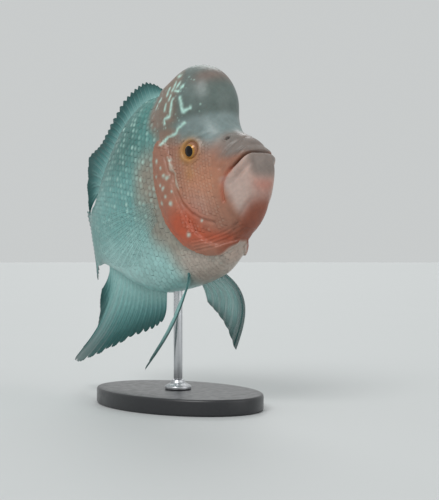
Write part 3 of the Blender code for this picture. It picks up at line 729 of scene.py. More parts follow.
def marks(s, y, z):
    """Share of pearly paint at each point of the head: streak, worms, spots and specks."""
    left = y > 0

    def wander(seed):
        return 0.0018 * waves(s, y, z, 0.026, seed), 0.0009 * waves(s, y, z, 0.010, seed + 1)

    own_s = sum(wander(41), np.where(left, s - 0.006, s))
    own_z = sum(wander(43), np.where(left, 0.97 * z + 0.010, z))
    width = 1 + 0.30 * waves(s, y, z, 0.022, 45)
    faint = 0.86 + 0.22 * waves(s, y, z, 0.018, 46)
    bright = 0.95 * hill(to_line(STREAK, own_s, own_z) / width, 0, 0.0060) ** 1.5
    for worm in WORMS:
        bright = np.maximum(bright, hill(to_line(worm, own_s, own_z) / width, 0, 0.0066) ** 1.5)
    bright *= faint
    for spot_s, spot_z, radius in COVER_SPOTS:
        from_spot = np.hypot(own_s - spot_s, 0.85 * (own_z - spot_z)) / width
        bright = np.maximum(bright, 0.60 * hill(from_spot, 0, 1.1 * radius) ** 1.4)
    upper_ridge = to_line(CHEEK_RIDGE[:6], own_s, own_z) / width
    bright = np.maximum(bright, 0.30 * hill(upper_ridge, 0, 0.0040) * faint)
    draw = np.random.default_rng(11)
    for _ in range(sizes().specks):
        level = draw.uniform(0.19, 0.385)
        at_s, at_y, _ = on_hump(level, draw.choice((-1, 1)) * draw.beta(1.0, 1.5) * 2.4)
        radius, strength = draw.uniform(0.0018, 0.0050), draw.uniform(0.20, 0.80)
        off_s, off_y, off_z = s - at_s, y - at_y, z - level
        near = np.maximum(np.maximum(np.abs(off_s), np.abs(off_y)), np.abs(off_z)) < SPECK_REACH
        away = np.sqrt(off_s[near] ** 2 + off_y[near] ** 2 + off_z[near] ** 2)
        bright[near] = np.maximum(bright[near], strength * hill(away, 0, radius) ** 2)
    return bright


def skin_tone(s, y, z):
    """Painted colour, and pearly shine as a fourth value, of any point on the fish."""
    c = colours()
    tone = base_tone(c.flank, 0.25, len(s))
    blur = 0.012 * waves(s, y, z, 0.09, 3)
    low = z + blur
    paint(tone, c.back, ease(0.05, 0.20, low) * (0.5 + 0.5 * ease(0.36, 0.52, s)))
    paint(tone, c.nape, ease(0.22, 0.30, low) * (1 - ease(0.42, 0.60, s)) * 0.8)
    paint(tone, c.belly, ease(-0.02, -0.15, low))
    paint(tone, c.back, 0.5 * ease(0.72, 0.95, s))
    degrees = np.degrees(angle_of(s, y, z))
    behind = s - curve(COVER_REAR, degrees)
    paint(tone, c.halo, (1 - ease(0.045, 0.165, behind + 2.0 * blur)) * ease(0.20, 0.08, z) * 0.85)
    paint(tone, c.breast, (1 - ease(0.30, 0.42, s)) * ease(-0.16, -0.22, low))

    on_head = ease(0.006, -0.004, behind) * ease(0.17, 0.13, z - 0.45 * np.maximum(s - 0.2, 0))
    paint(tone, c.head, on_head)
    tone[:, 3] *= 1 - 0.8 * on_head
    paint(tone, c.cheek, blot(s, z, (0.185, -0.010), (0.080, 0.075)) * on_head)
    paint(tone, c.jaw, 0.35 * blot(s, z, (0.215, -0.070), (0.045, 0.045)) * on_head)
    paint(tone, c.ember, 1.25 * blot(s, z, (0.275, -0.120), (0.062, 0.058), 30) * on_head)
    paint(tone, c.ember, 0.9 * along(BREAST_EDGE, s, z, 0.022) * on_head)
    paint(tone, c.snout, ease(0.135, 0.075, s) * ease(0.030, 0.060, z))
    paint(tone, c.jaw, ease(0.132, 0.095, s - 0.25 * np.minimum(z + 0.02, 0))
          * ease(0.004, -0.010, z - mouth_level(s)) * (0.88 + 0.12 * ease(0.0, -0.05, z)))
    under = z - np.interp(s, *np.array(THROAT_LINE).T)
    paint(tone, c.throat, ease(0.020, -0.024, under + 0.4 * blur) * ease(0.215, 0.165, s))
    paint(tone, c.breast, 0.85 * ease(-0.022, -0.008, behind + 0.3 * blur) * ease(0.090, 0.0, behind)
          * ease(138, 152, degrees))
    paint(tone, c.ember, 0.8 * blot(s, z, (0.004, -0.062), (0.020, 0.030)))
    # Painted shade: the snout's darker mauve over the front of the lower lip, where it turns away from the
    # light.
    paint(tone, c.snout, 0.90 * ease(0.026, 0.006, s) * ease(-0.050, -0.010, z))
    paint(tone, c.ember, 0.45 * along(CHEEK_FOLD, s, z, 0.009))
    near_hump = ease(0.024, 0.0, off_hump(s, y, z)) * ease(0.115, 0.150, z)
    paint(tone, c.brow, near_hump * ease(0.30, 0.22, s))
    paint(tone, c.hump_rose, 0.8 * near_hump * ease(0.22, 0.30, s))
    paint(tone, c.brow, 1.15 * blot(s, z, (0.150, 0.142), (0.056, 0.042), 40))
    paint(tone, c.gold, 0.85 * hill(np.hypot(s - EYE_S - 0.006, (z - EYE_LEVEL) * 0.9), 0.016, 0.020))
    paint(tone, c.gold, 0.35 * blot(s, z, (0.222, 0.030), (0.018, 0.022)))

    dome = ease(0.010, -0.004, off_hump(s, y, z)) * ease(0.185, 0.215, z)
    paint(tone, c.hump, dome)
    paint(tone, c.hump_rose, dome * ease(0.215, 0.275, s + blur))
    paint(tone, c.ember, 0.22 * dome * (ease(0.34, 0.42, s) + blot(s, z, (0.150, 0.326), (0.036, 0.026))))
    tone[:, 3] = np.where(dome > 0.5, 0.12, tone[:, 3])

    above = z - mouth_level(s)
    # Painted shade: near black along the closed mouth's line and in the nostril pits, where the crease and
    # the hollows fall in shade.
    paint(tone, c.pupil, 0.50 * hill(above, 0, 0.0034) * (1 - ease(0.046, 0.080, s)))
    paint(tone, c.pupil, 0.85 * hill(from_point(NOSTRIL, s, z), 0, 0.0042))
    bright = marks(s, y, z)
    paint(tone, c.pearl, bright)
    tone[:, 3] = np.maximum(tone[:, 3], 0.9 * bright)
    tone[:, :3] *= (1 + 0.05 * waves(s, y, z, 0.030, 5) + 0.04 * waves(s, y, z, 0.012, 6))[:, None]
    return tone


class FLOWERHORN_OT_skin(bpy.types.Operator):
    """Casts the skin of the whole fish, works the head's forms into it and paints it"""
    bl_idname = "flowerhorn.skin"
    bl_label = "Skin"

    # Half widths of the smoothed crease round the hump and of the finer skin by the mouth and nostrils
    crease, near = 0.013, 0.013

    def execute(self, context):
        mesh = cast_skin()
        points = relax(points_of(mesh), edges_of(mesh), (0.5, -0.53), 12)
        s, y, z = unplace(points)
        crease = hill(off_hump(s, y, z), 0, self.crease) * hill(off_body(s, y, z), 0, self.crease)
        crease *= ease(0.12, 0.16, z)
        points = relax(points, edges_of(mesh), 0.9 * np.clip(1.5 * crease, 0, 1)[:, None], 60)
        set_points(mesh, points)

        s, y, z = unplace(points)
        by_mouth = (np.abs(z - mouth_level(s)) < self.near) & (s < 0.128)
        by_eye = (np.abs(from_point(EYE, s, z) - 0.024) < 0.010) & (np.abs(y) > 0.05)
        split_where(mesh, by_mouth | by_eye | (from_point(NOSTRIL, s, z) < self.near))
        mesh.update()
        points = relax(points_of(mesh), edges_of(mesh), 0.4, 2)
        set_points(mesh, points)

        s, y, z = unplace(points)
        normals = points_of(mesh, "normal")
        forward = normals @ np.array((math.cos(NOSE_UP), 0, math.sin(NOSE_UP)))
        lumps = 0.00045 * waves(s, y, z, 0.11, 8) * ease(0.20, 0.25, z) * ease(0.5, 0.4, s)
        points += normals * (head_relief(s, z, forward) + lumps)[:, None]
        set_points(mesh, points)
        set_tone(mesh, skin_tone(*unplace(points)))
        finish = painted("wet_skin", (260, 0.92, 1.08), (0.40, 0.52),
                         ((2600, 0.22, 0.00030), (420, 0.16, 0.0008)), Coat_Weight=0.18,
                         Coat_Roughness=0.22, Subsurface_Weight=0.12, Subsurface_Scale=0.004,
                         Subsurface_Radius=(1.0, 0.45, 0.30))
        mesh.name = "flowerhorn_skin"
        put("flowerhorn_skin", mesh, finish, "trunk_skin", "head", "lower_jaw", "nuchal_hump",
            "gill_cover_right", "gill_cover_left", "trunk", "tail_stalk")
        return {"FINISHED"}


class FLOWERHORN_OT_eyes(bpy.types.Operator):
    """Makes both eyes, each a wet ball with a pupil, a streaked iris and a swollen cornea"""
    bl_idname = "flowerhorn.eyes"
    bl_label = "Eyes"

    def centre_and_axes(self, side):
        """Middle of an eye, the way it looks, and the ways across and up its face."""
        middle = curve(WIDEST_LEVEL, EYE_S)
        slope = (EYE_LEVEL - middle) / (curve(BACK, EYE_S) - middle)
        out = curve(HALF_WIDTH, EYE_S) * math.sqrt(1 - slope ** 2) + EYE_BULGE - EYE_RADIUS
        centre = place(EYE_S, side * out, EYE_LEVEL)
        axis = place(EYE_S - 0.004, side * (out + 0.1), EYE_LEVEL - 0.012) - centre
        axis /= np.linalg.norm(axis)
        across = np.cross(axis, (0, 0, 1.0))
        across /= np.linalg.norm(across)
        return centre, axis, across, np.cross(across, axis)

    def tone(self, away, spun):
        """Paint of an eye at degrees away from its axis and radians round it."""
        c = colours()
        tone = base_tone(c.gold, 0.35, len(away))
        streaks = np.sin(41 * spun) + np.sin(67 * spun + 1.0) + np.sin(23 * spun + 2.0)
        tone[:, :3] *= (1 + 0.10 * streaks)[:, None]
        paint(tone, c.head, 0.85 * ease(34, 47, away))
        paint(tone, c.pearl, 0.10 * hill(away, 31, 1.4))
        paint(tone, c.pupil, ease(32.5, 30.0, away))
        # Painted shade: the ball is darker beyond 50 degrees from its axis, where it sinks into its socket.
        paint(tone, c.pupil, 0.35 * ease(50, 60, away))
        tone[:, 3] *= ease(30, 33, away) * ease(52, 40, away)
        return tone

    def execute(self, context):
        finish = painted("wet_eye", (900, 0.92, 1.08), (0.10, 0.14), ((900, 0.04, 0.0002),),
                         Coat_Weight=0.12, Coat_Roughness=0.04, Specular_IOR_Level=0.22)
        polar = np.linspace(0.002, np.pi - 0.002, 110)[:, None, None]
        turn = np.linspace(0, 2 * np.pi, 120, endpoint=False)[None, :, None]
        radius = EYE_RADIUS * STANDARD_LENGTH * (0.985 + 0.035 * hill(polar, 0, 0.55))
        for name, side in (("eye_right", -1), ("eye_left", 1)):
            centre, axis, across, up = self.centre_and_axes(side)
            face = np.cos(turn) * across + np.sin(turn) * up
            points, faces = tube(centre + radius * (np.cos(polar) * axis + np.sin(polar) * face))
            mesh = new_mesh(name, points, faces)
            out = points - centre
            away = np.degrees(np.arccos(np.clip(out @ axis / np.linalg.norm(out, axis=1), -1, 1)))
            set_tone(mesh, self.tone(away, np.arctan2(out @ up, out @ across)))
            put("wet_" + name, mesh, finish, "eye", name)
        return {"FINISHED"}


ARC_S = np.linspace(0.0, 1.0, 201)
ARC_SHARE = np.linspace(0, 1, 61)


def arc_tables():
    """Girth from the widest level up to the back and down to the belly, with the angles along each."""
    tables = []
    for start, end in ((np.pi / 2, 0), (np.pi / 2, np.pi)):
        angle = np.linspace(start, end, 160)
        _, y, z = body(ARC_S[:, None], angle[None])
        arc = np.concatenate((np.zeros((len(ARC_S), 1)),
                              np.cumsum(np.hypot(np.diff(y, axis=1), np.diff(z, axis=1)), 1)), 1)
        table = np.array([np.interp(ARC_SHARE, row / row[-1], angle) for row in arc])
        tables.append((arc[:, -1], table))
    return tables


def angle_at(tables, s, height):
    """Angle from the back at a height along the skin above the widest level, or below it where negative."""
    angle = np.zeros(np.shape(s))
    for up, (girth, table) in zip((True, False), tables):
        chosen = (height >= 0) == up
        share = np.clip(np.abs(height[chosen]) / np.interp(s[chosen], ARC_S, girth), 0, 1)
        share *= len(ARC_SHARE) - 1
        at = np.clip(s[chosen], 0, 1) * (len(ARC_S) - 1)
        i, j = np.minimum(at.astype(int), len(ARC_S) - 2), np.minimum(share.astype(int), len(ARC_SHARE) - 2)
        a, b = at - i, share - j
        angle[chosen] = ((1 - a) * ((1 - b) * table[i, j] + b * table[i, j + 1])
                         + a * ((1 - b) * table[i + 1, j] + b * table[i + 1, j + 1]))
    return angle


class Coat:
    """A coat of overlapping scales laid on the finished skin."""

    # Points along and across a scale, its length and half width over their spacing, how deep it is
    # rooted over its rise, and how far in metres it may lie from the plain body before it's left out
    rows, columns = 8, 9
    overlap, half_width, depth, farthest = 1.95, 0.66, 1.6, 0.0022

    def __init__(self, skin):
        self.tables = arc_tables()
        mesh = bmesh.new()
        mesh.from_mesh(skin.data)
        self.tree = BVHTree.FromBMesh(mesh)
        mesh.free()

    def roots(self, length, width, first, last, shrink):
        """Staggered places (s, height, size) of scales, closer together as shrink(s) falls."""
        s, index, found = first, 0, []
        while s < last:
            size = float(shrink(s))
            up, down = (np.interp(s, ARC_S, girth) for girth, _ in self.tables)
            step = width * size
            rows = np.arange(math.ceil(-down / step), math.floor(up / step) + 1) + 0.5 * (index % 2)
            found += [(s, row * step, size) for row in rows]
            s, index = s + length * size, index + 1
        return np.array(found)

    def onto_skin(self, points):
        """Nearest place on the skin to each point, the skin's direction there and the distance."""
        places, normals, away = np.empty_like(points), np.empty_like(points), np.empty(len(points))
        for index, point in enumerate(points):
            place_there, normal, _, distance = self.tree.find_nearest(point)
            places[index], normals[index], away[index] = place_there, normal, distance
        return places, normals, away

    def lay(self, name, roots, side, length, width, rise, keep, finish, slot, seed, fleck, share_of_rise,
            margin):
        """Makes the scales of one side as a piece: thin curved plates, rooted in the skin, free behind.

        length and width are the spacing of the scales and rise, in metres, is their height behind;
        keep(s, height, angle) says which are wanted, fleck(s, height, draw) how pearly each is,
        share_of_rise(s, height) how much of the rise it has, and margin how dark its rim is.
        """
        draw = np.random.default_rng(seed)
        s, height, size = roots.T
        angle = angle_at(self.tables, s, height)
        own = keep(s, height, angle)
        s, height, size = s[own], height[own], size[own]
        count = len(s)
        u = np.linspace(0, 1, self.rows)[None, :, None]
        v = np.linspace(-1, 1, self.columns)[None, None, :]
        jitter = draw.normal(0, 1, (4, count))[:, :, None, None]
        reach = self.overlap * length * size[:, None, None] * (1 + 0.05 * jitter[0])
        half = self.half_width * width * size[:, None, None] * (1 + 0.04 * jitter[1])
        rounding = np.sqrt(np.clip(1 - np.clip((u - 0.52) / 0.48, 0, 1) ** 2.3, 0.0, 1))
        outline = rounding * (0.72 + 0.28 * ease(0, 0.4, u))
        at_s = (s[:, None, None] + (u - 0.62) * reach + 0 * v).ravel()
        at_h = (height[:, None, None] + v * outline * half + 0.05 * half * jitter[2] * u).ravel()
        on_body = np.clip(at_s, 0.001, 0.999)
        _, y, z = body(on_body, angle_at(self.tables, on_body, at_h))
        places, normals, away = self.onto_skin(place(at_s, -side * y, z))
        own_rise = (share_of_rise(s, height) * size)[:, None, None]
        dish = 0.30 * np.abs(v) ** 2.2 * (0.4 + 0.6 * u)
        lift = rise * own_rise * (1.75 * u ** 0.8 - 0.55 - (1 - u) ** 3 - dish + 0.12 * jitter[3] * u)
        shown = away.reshape(count, -1).max(1) < self.farthest
        grid, deep = ((places + normals * height_there).reshape(count, self.rows, self.columns, 3)[shown]
                      for height_there in (lift.reshape(-1, 1), -self.depth * rise))
        tones = skin_tone(*unplace(grid.reshape(-1, 3))).reshape(len(grid), self.rows, self.columns, 4)
        around, middle = u[0], v[0]
        pearl = fleck(s[shown], height[shown], draw)[:, None, None]
        window = hill(middle, 0, 0.55) * hill(around, 0.74, 0.15)
        share = (pearl * window)[..., None]
        tones[..., :3] += (linear(colours().pearl) - tones[..., :3]) * share
        edge = np.maximum(np.abs(middle) ** 3 * 0.7, ease(0.86, 1.0, around)) * ease(0.3, 0.6, around)
        soft = (1 - 0.75 * ease(-0.06, -0.20, height[shown]))[:, None, None]
        uneven = 1 + 0.35 * margin * draw.normal(0, 1, (len(grid), 1, 1))
        tones[..., :3] *= ((1 - margin * soft * edge[None]) * uneven)[..., None]
        tones[..., 3] = np.clip(tones[..., 3] + 0.5 * share[..., 0], 0, 1)

        turned = angle_at(self.tables, s[shown], height[shown])
        turned = turned if side < 0 else 2 * np.pi - turned
        patch_u = 0.02 + 0.96 * s[shown][:, None, None] + (u - 0.5) * 0.003 + 0 * v
        patch_v = 0.02 + 0.96 * turned[:, None, None] / (2 * np.pi) + v * 0.0015 + 0 * u
        self.make(name, grid, deep, tones, np.stack((patch_u, patch_v), -1), finish, slot)

    def make(self, name, grid, deep, tones, patches, finish, slot):
        """Closes each scale with a rim drawn down to one point under its middle, and joins them all."""
        count, rows, columns = grid.shape[:3]
        per = rows * columns + 1

        def with_middle(values, middles):
            size = values.shape[-1]
            middle = middles[:, rows // 2, columns // 2][:, None]
            return np.concatenate((values.reshape(count, -1, size), middle), 1).reshape(-1, size)

        pairs = ((grid, deep), (tones, tones), (patches, patches))
        points, tone, patch = (with_middle(*pair) for pair in pairs)
        one = np.concatenate((grid_faces(rows, columns), fan(rim_of(rows, columns), per - 1)[:, ::-1]))
        first = points[:per]
        a, b, c = (first[one[:rows * 2, k]] for k in range(3))
        outward = np.cross(b - a, c - a).sum(0) @ (grid[0].reshape(-1, 3).mean(0) - first[-1])
        if outward < 0:
            one = one[:, ::-1]
        faces = (np.arange(count)[:, None, None] * per + one[None]).reshape(-1, 3)
        mesh = new_mesh(name, points, faces)
        set_tone(mesh, tone)
        layer = mesh.uv_layers.new(name="OFBake")
        layer.data.foreach_set("uv", np.ascontiguousarray(patch[faces.ravel()], np.float32).ravel())
        put(name, mesh, finish, slot)


class FLOWERHORN_OT_scales(bpy.types.Operator):
    """Lays the overlapping scales of both flanks over the skin, each with its own pearly fleck"""
    bl_idname = "flowerhorn.scales"
    bl_label = "Scales"

    def execute(self, context):
        skin = bpy.data.objects.get("flowerhorn_skin")
        if skin is None:
            raise RuntimeError("Make the skin before its scales")
        coat = Coat(skin)
        length, width = sizes().scale_length / STANDARD_LENGTH, sizes().scale_width / STANDARD_LENGTH
        looks = (("flank_scales", (0.34, 0.44), 0.20, 0.20), ("face_scales", (0.38, 0.50), 0.18, 0.22))
        flank, cheek = (painted(name, (320, 0.94, 1.06), roughness, ((2400, 0.15, 0.0002),),
                                Coat_Weight=weight, Coat_Roughness=blur)
                        for name, roughness, weight, blur in looks)

        def behind_cover(s, height, angle):
            rear = curve(COVER_REAR, np.degrees(angle))
            return (s > rear + 0.2 * length) & ((s > 0.335) | (height < 0))

        def on_face(s, height, angle):
            _, _, z = body(s, angle)
            clear = np.where(behind_ridge(s, z) > 0, 0.027, 0.010)
            return ((s < curve(COVER_REAR, np.degrees(angle)) - 0.010) & (s > 0.138) & (z > -0.150)
                    & (z < 0.06 + 0.5 * (s - 0.06)) & (from_point(EYE, s, z) > 0.042)
                    & (to_line(CHEEK_RIDGE, s, z) > clear) & (to_line(CHEEK_FOLD, s, z) > 0.021))

        def fleck(s, height, draw):
            strength = 0.14 + 0.62 * ease(-0.20, -0.03, height) * (1 - 0.7 * ease(0.50, 0.85, s))
            patchy = np.clip(0.6 + 0.7 * waves(s, 0 * s, height, 0.055, 51), 0.1, 1.3)
            return np.clip(strength * patchy * draw.uniform(0, 1.15, len(s)) ** 1.5, 0, 0.9)

        def plain(s, height, draw):
            return 0.10 * draw.uniform(0, 1.0, len(s))

        def flank_rise(s, height):
            return (1 - 0.55 * ease(0.45, 0.37, s)) * (1 - 0.45 * ease(-0.08, -0.22, height))

        def flank_size(s):
            return 1 - 0.42 * ease(0.55, 0.97, s) - 0.40 * ease(0.40, 0.26, s)

        small_length, small_width, rise = 0.50 * length, 0.54 * width, sizes().scale_rise
        roots = coat.roots(length, width, 0.150, 0.985, flank_size)
        small = coat.roots(small_length, small_width, 0.100, 0.360, lambda s: 1.0)
        for name, side, seed in (("right", -1, 21), ("left", 1, 22)):
            coat.lay(name + "_flank_scales", roots, side, length, width, rise, behind_cover, flank,
                     "trunk_skin", seed, fleck, flank_rise, 0.14)
            coat.lay(name + "_face_scales", small, side, small_length, small_width, 0.28 * rise, on_face,
                     cheek, "head_skin", seed + 4, plain, lambda s, height: 1.0, 0.07)
        return {"FINISHED"}


def normal_of(surface):
    """Direction across a grid of points, at each point."""
    across, along = np.gradient(surface, axis=0), np.gradient(surface, axis=1)
    normal = np.cross(across, along)
    return normal / np.maximum(np.linalg.norm(normal, axis=-1, keepdims=True), 1e-12)


def ray_ridges(u, v, rays, spines):
    """Rise from 0 to 1 of the rays: whole spines in front, and soft rays that fork twice behind them."""
    at = u * rays - 0.5
    own = np.clip(np.round(at), 0, rays - 1)
    off, soft = at - own, own >= spines
    fork, again = 0.16 * ease(0.28, 0.52, v) * soft, 0.085 * ease(0.58, 0.82, v) * soft
    thick = np.where(soft, 0.115 - 0.055 * ease(0.25, 0.9, v), 0.13 - 0.06 * v)
    ridge = np.zeros(u.shape)
    for a in (-1, 1):
        for b in (-1, 1):
            ridge = np.maximum(ridge, hill(off, a * fork + b * again, thick))
    return ridge, off, own


# A fin's fleshy foot as a share of its height, and half the thickness in metres of its membrane
FLESH_HEIGHT, MEMBRANE = 0.08, 0.00010


def fin(name, surface, rays, spines, rows, notch, thick, finish, slot, node, tint, seed, flesh=0.0012,
        uneven=0.018):
    """Rayed fin on surface(u, v): ridged rays, thin membrane cut in between their tips, a fleshy root.

    rows counts the points along a ray, notch(u) is how far the membrane falls short of the tips, thick
    and flesh are half thicknesses in metres of a ray and of the root, finish is (membrane, rays), and
    tint(tone, u, v, ridge) paints it.
    """
    per_ray, segments = 12, 26
    draw = np.random.default_rng(seed)
    u, v = np.meshgrid(np.linspace(0, 1, rays * per_ray + 1), np.linspace(0, 1, rows), indexing="ij")
    ridge, off, own = ray_ridges(u, v, rays, spines)
    tips = 1 + uneven * draw.normal(size=rays)[own.astype(int)]
    fringe = 1 - notch(u) * np.clip(2 * np.abs(off), 0, 1) ** 1.6 - uneven * (1 - ridge) * (own >= spines)
    reach = v * (1 + (fringe * np.minimum(tips, 1.0) - 1) * v ** 2)
    middle = surface(u, np.clip(reach, 0, 1))
    normal = normal_of(middle)
    sag = 0.00022 * np.sin(2 * np.pi * off) * ease(0.05, 0.3, v) + 0.0003 * np.sin(9 * u + 7 * v) * v
    middle = middle + normal * sag[..., None]
    knuckles = 1 + 0.10 * np.sin(2 * np.pi * v * segments) * (own >= spines) * ease(0.1, 0.3, v)
    half = MEMBRANE + thick * (1 - 0.62 * v) * ridge * knuckles + flesh * np.exp(-(v / 0.045) ** 1.5)
    rim = np.minimum(1, 2 * rays * np.minimum(u, 1 - u) + 0.4) * np.where(v > 0.985, 0.5, 1)
    step = normal * (half * rim)[..., None]
    points, faces = two_faced(middle - step, middle + step)
    mesh = new_mesh(name, points, faces)
    c = colours()
    tone = base_tone(c.fin, 0.08, u.size)
    u, v, ridge, off = u.ravel(), v.ravel(), ridge.ravel(), np.abs(off.ravel())
    paint(tone, c.fin_ray, 0.38 * ridge * ease(1.0, 0.55, v))
    paint(tone, c.fin_edge, 0.32 * hill(off, 0.24, 0.07) * ease(0.1, 0.3, v))
    paint(tone, c.fin_edge, 0.92 * ease(0.35, 0.97, v))
    tint(tone, u, v, ridge)
    set_tone(mesh, np.concatenate((tone, tone)))
    membrane, rays_finish = finish
    piece = put(name, mesh, membrane, slot, node)
    piece.data.materials.append(rays_finish)
    on_ray, level = (np.concatenate((part, part))[faces].mean(1) for part in (ridge, v))
    fleshy = FLESH_HEIGHT - level.clip(0, FLESH_HEIGHT)
    mesh.polygons.foreach_set("material_index", (on_ray + 6 * fleshy > 0.5).astype(np.int32))


def bow(start, end, v, sag):
    """Points at v along a ray from start to end in (s, z), bowed sideways by sag of its length."""
    along_s, along_z, push = end[0] - start[0], end[1] - start[1], sag * np.sin(np.pi * v)
    return start[0] + along_s * v + along_z * push, start[1] + along_z * v - along_s * push


def from_root(v, sunk):
    """Share along a ray that starts a little inside the body."""
    return v * (1 + sunk) - sunk


def dorsal_surface(u, v):
    """Dorsal fin's surface: u runs from its front to its rear and v from its root to its tips."""
    tips_s = ((0, 0.412), (0.15, 0.490), (0.35, 0.600), (0.55, 0.715), (0.70, 0.795), (0.80, 0.850),
              (0.87, 0.888), (0.93, 0.915), (1, 0.935))
    tips_z = ((0, 0.362), (0.08, 0.398), (0.20, 0.424), (0.35, 0.408), (0.55, 0.340), (0.70, 0.292),
              (0.80, 0.280), (0.86, 0.268), (0.93, 0.180), (1, 0.062))
    s0 = 0.394 + 0.468 * u
    v = from_root(v, 0.07)
    sag = -0.05 - 0.17 * ease(0.80, 1.0, u)
    s, z = bow((s0, curve(BACK, s0)), (curve(tips_s, u), curve(tips_z, u)), v, sag)
    lean = np.maximum(v, 0)
    return place(s, 0.008 * np.sin(6.0 * u) * lean ** 1.5 - 0.027 * ease(0.72, 1.0, u) * lean ** 1.25, z)


def anal_surface(u, v):
    """Anal fin's surface, its long tips swept to the right."""
    tips_s = ((0, 0.562), (0.20, 0.646), (0.40, 0.740), (0.60, 0.838), (0.70, 0.935), (0.78, 1.130),
              (0.83, 1.070), (0.88, 1.020), (0.93, 0.965), (1, 0.905))
    tips_z = ((0, -0.366), (0.10, -0.380), (0.30, -0.397), (0.50, -0.423), (0.60, -0.437), (0.70, -0.440),
              (0.78, -0.413), (0.83, -0.392), (0.88, -0.345), (0.93, -0.284), (1, -0.205))
    s0 = 0.530 + 0.336 * u
    v = from_root(v, 0.05)
    s, z = bow((s0, curve(BELLY, s0)), (curve(tips_s, u), curve(tips_z, u)), v, 0.05 + 0.06 * u)
    sway = -0.118 * ease(0.1, 0.75, u) * (1 - 0.75 * ease(0.77, 0.92, u))
    return place(s, sway * np.maximum(v, 0) ** 1.6, z)


def caudal_surface(u, v):
    """Caudal fin's surface: u runs from its lower edge to its upper one."""
    spread, v = 2 * u - 1, from_root(v, 0.08)
    length = (0.228 - 0.075 * spread ** 2) * v
    slant = math.radians(15) * spread
    return place(1.0 + length * np.cos(slant), 0.006 * np.sin(5.0 * u) * v,
                 0.094 * spread + length * np.sin(slant))


class FLOWERHORN_OT_median_fins(bpy.types.Operator):
    """Makes the dorsal, anal and caudal fins with their spines and forked rays"""
    bl_idname = "flowerhorn.median_fins"
    bl_label = "Dorsal, anal and caudal fins"

    def execute(self, context):
        finish = [painted(name, (500, 0.90, 1.10), (0.36, 0.48), ((3000, 0.15, 0.0002),),
                          Coat_Weight=0.15, Coat_Roughness=0.20, Alpha=alpha)
                  for name, alpha in (("dark_fin_membrane", 0.95), ("dark_fin_rays", 1.0))]

        def tint(tone, u, v, ridge):
            paint(tone, colours().belly, 0.75 * np.exp(-(v / 0.36) ** 2))
            between = (1 - ridge) * hill(np.sin(v * 75 + 9 * np.sin(31 * u)), 1, 0.5) * ease(0.50, 0.2, v)
            paint(tone, colours().pearl, 0.12 * between)

        fin("dorsal", dorsal_surface, 26, 15, 56, lambda u: 0.11 * (1 - ease(0.50, 0.75, u)) + 0.02,
            0.00055, finish, "dark_fin", "dorsal_fin", tint, 31)
        fin("anal", anal_surface, 16, 6, 60, lambda u: 0.03 + 0.07 * (1 - ease(0.2, 0.5, u)),
            0.00058, finish, "dark_fin", "anal_fin", tint, 32)
        fin("caudal", caudal_surface, 16, 0, 48, lambda u: 0.03, 0.00050, finish, "dark_fin",
            "caudal_fin", tint, 33)
        return {"FINISHED"}


def side_surface(side, root, tips, bulge):
    """Surface of a paired fin whose rays run from a root line to a tip line, both of (s, y, z) points."""

    def line(points, u, axis):
        return curve([(i / (len(points) - 1), p[axis]) for i, p in enumerate(points)], u)

    def surface(u, v):
        s, y, z = (line(root, u, axis) * (1 - v) + line(tips, u, axis) * v
                   + line(bulge, u, axis) * np.sin(np.pi * v ** 0.85) for axis in range(3))
        return place(s, side * y, z)

    return surface


ROOT_SINK = 0.010


def beside(share):
    """Share of the belly's reach one way where it is at a share of its reach the other way."""
    return (1 - share ** BELLY_ROUNDNESS) ** (1 / BELLY_ROUNDNESS)


def flank_point(s, level):
    """Point sunk a little in the lower flank at a level."""
    _, bottom, half, middle = sections(s)
    return s, float(half * beside(np.minimum(1.0, (middle - level) / (middle - bottom)))) - ROOT_SINK, level


def belly_point(s, y):
    """Point sunk a little in the belly, y from its middle."""
    _, bottom, half, middle = sections(s)
    return s, y, float(middle - (middle - bottom) * beside(y / half)) + ROOT_SINK


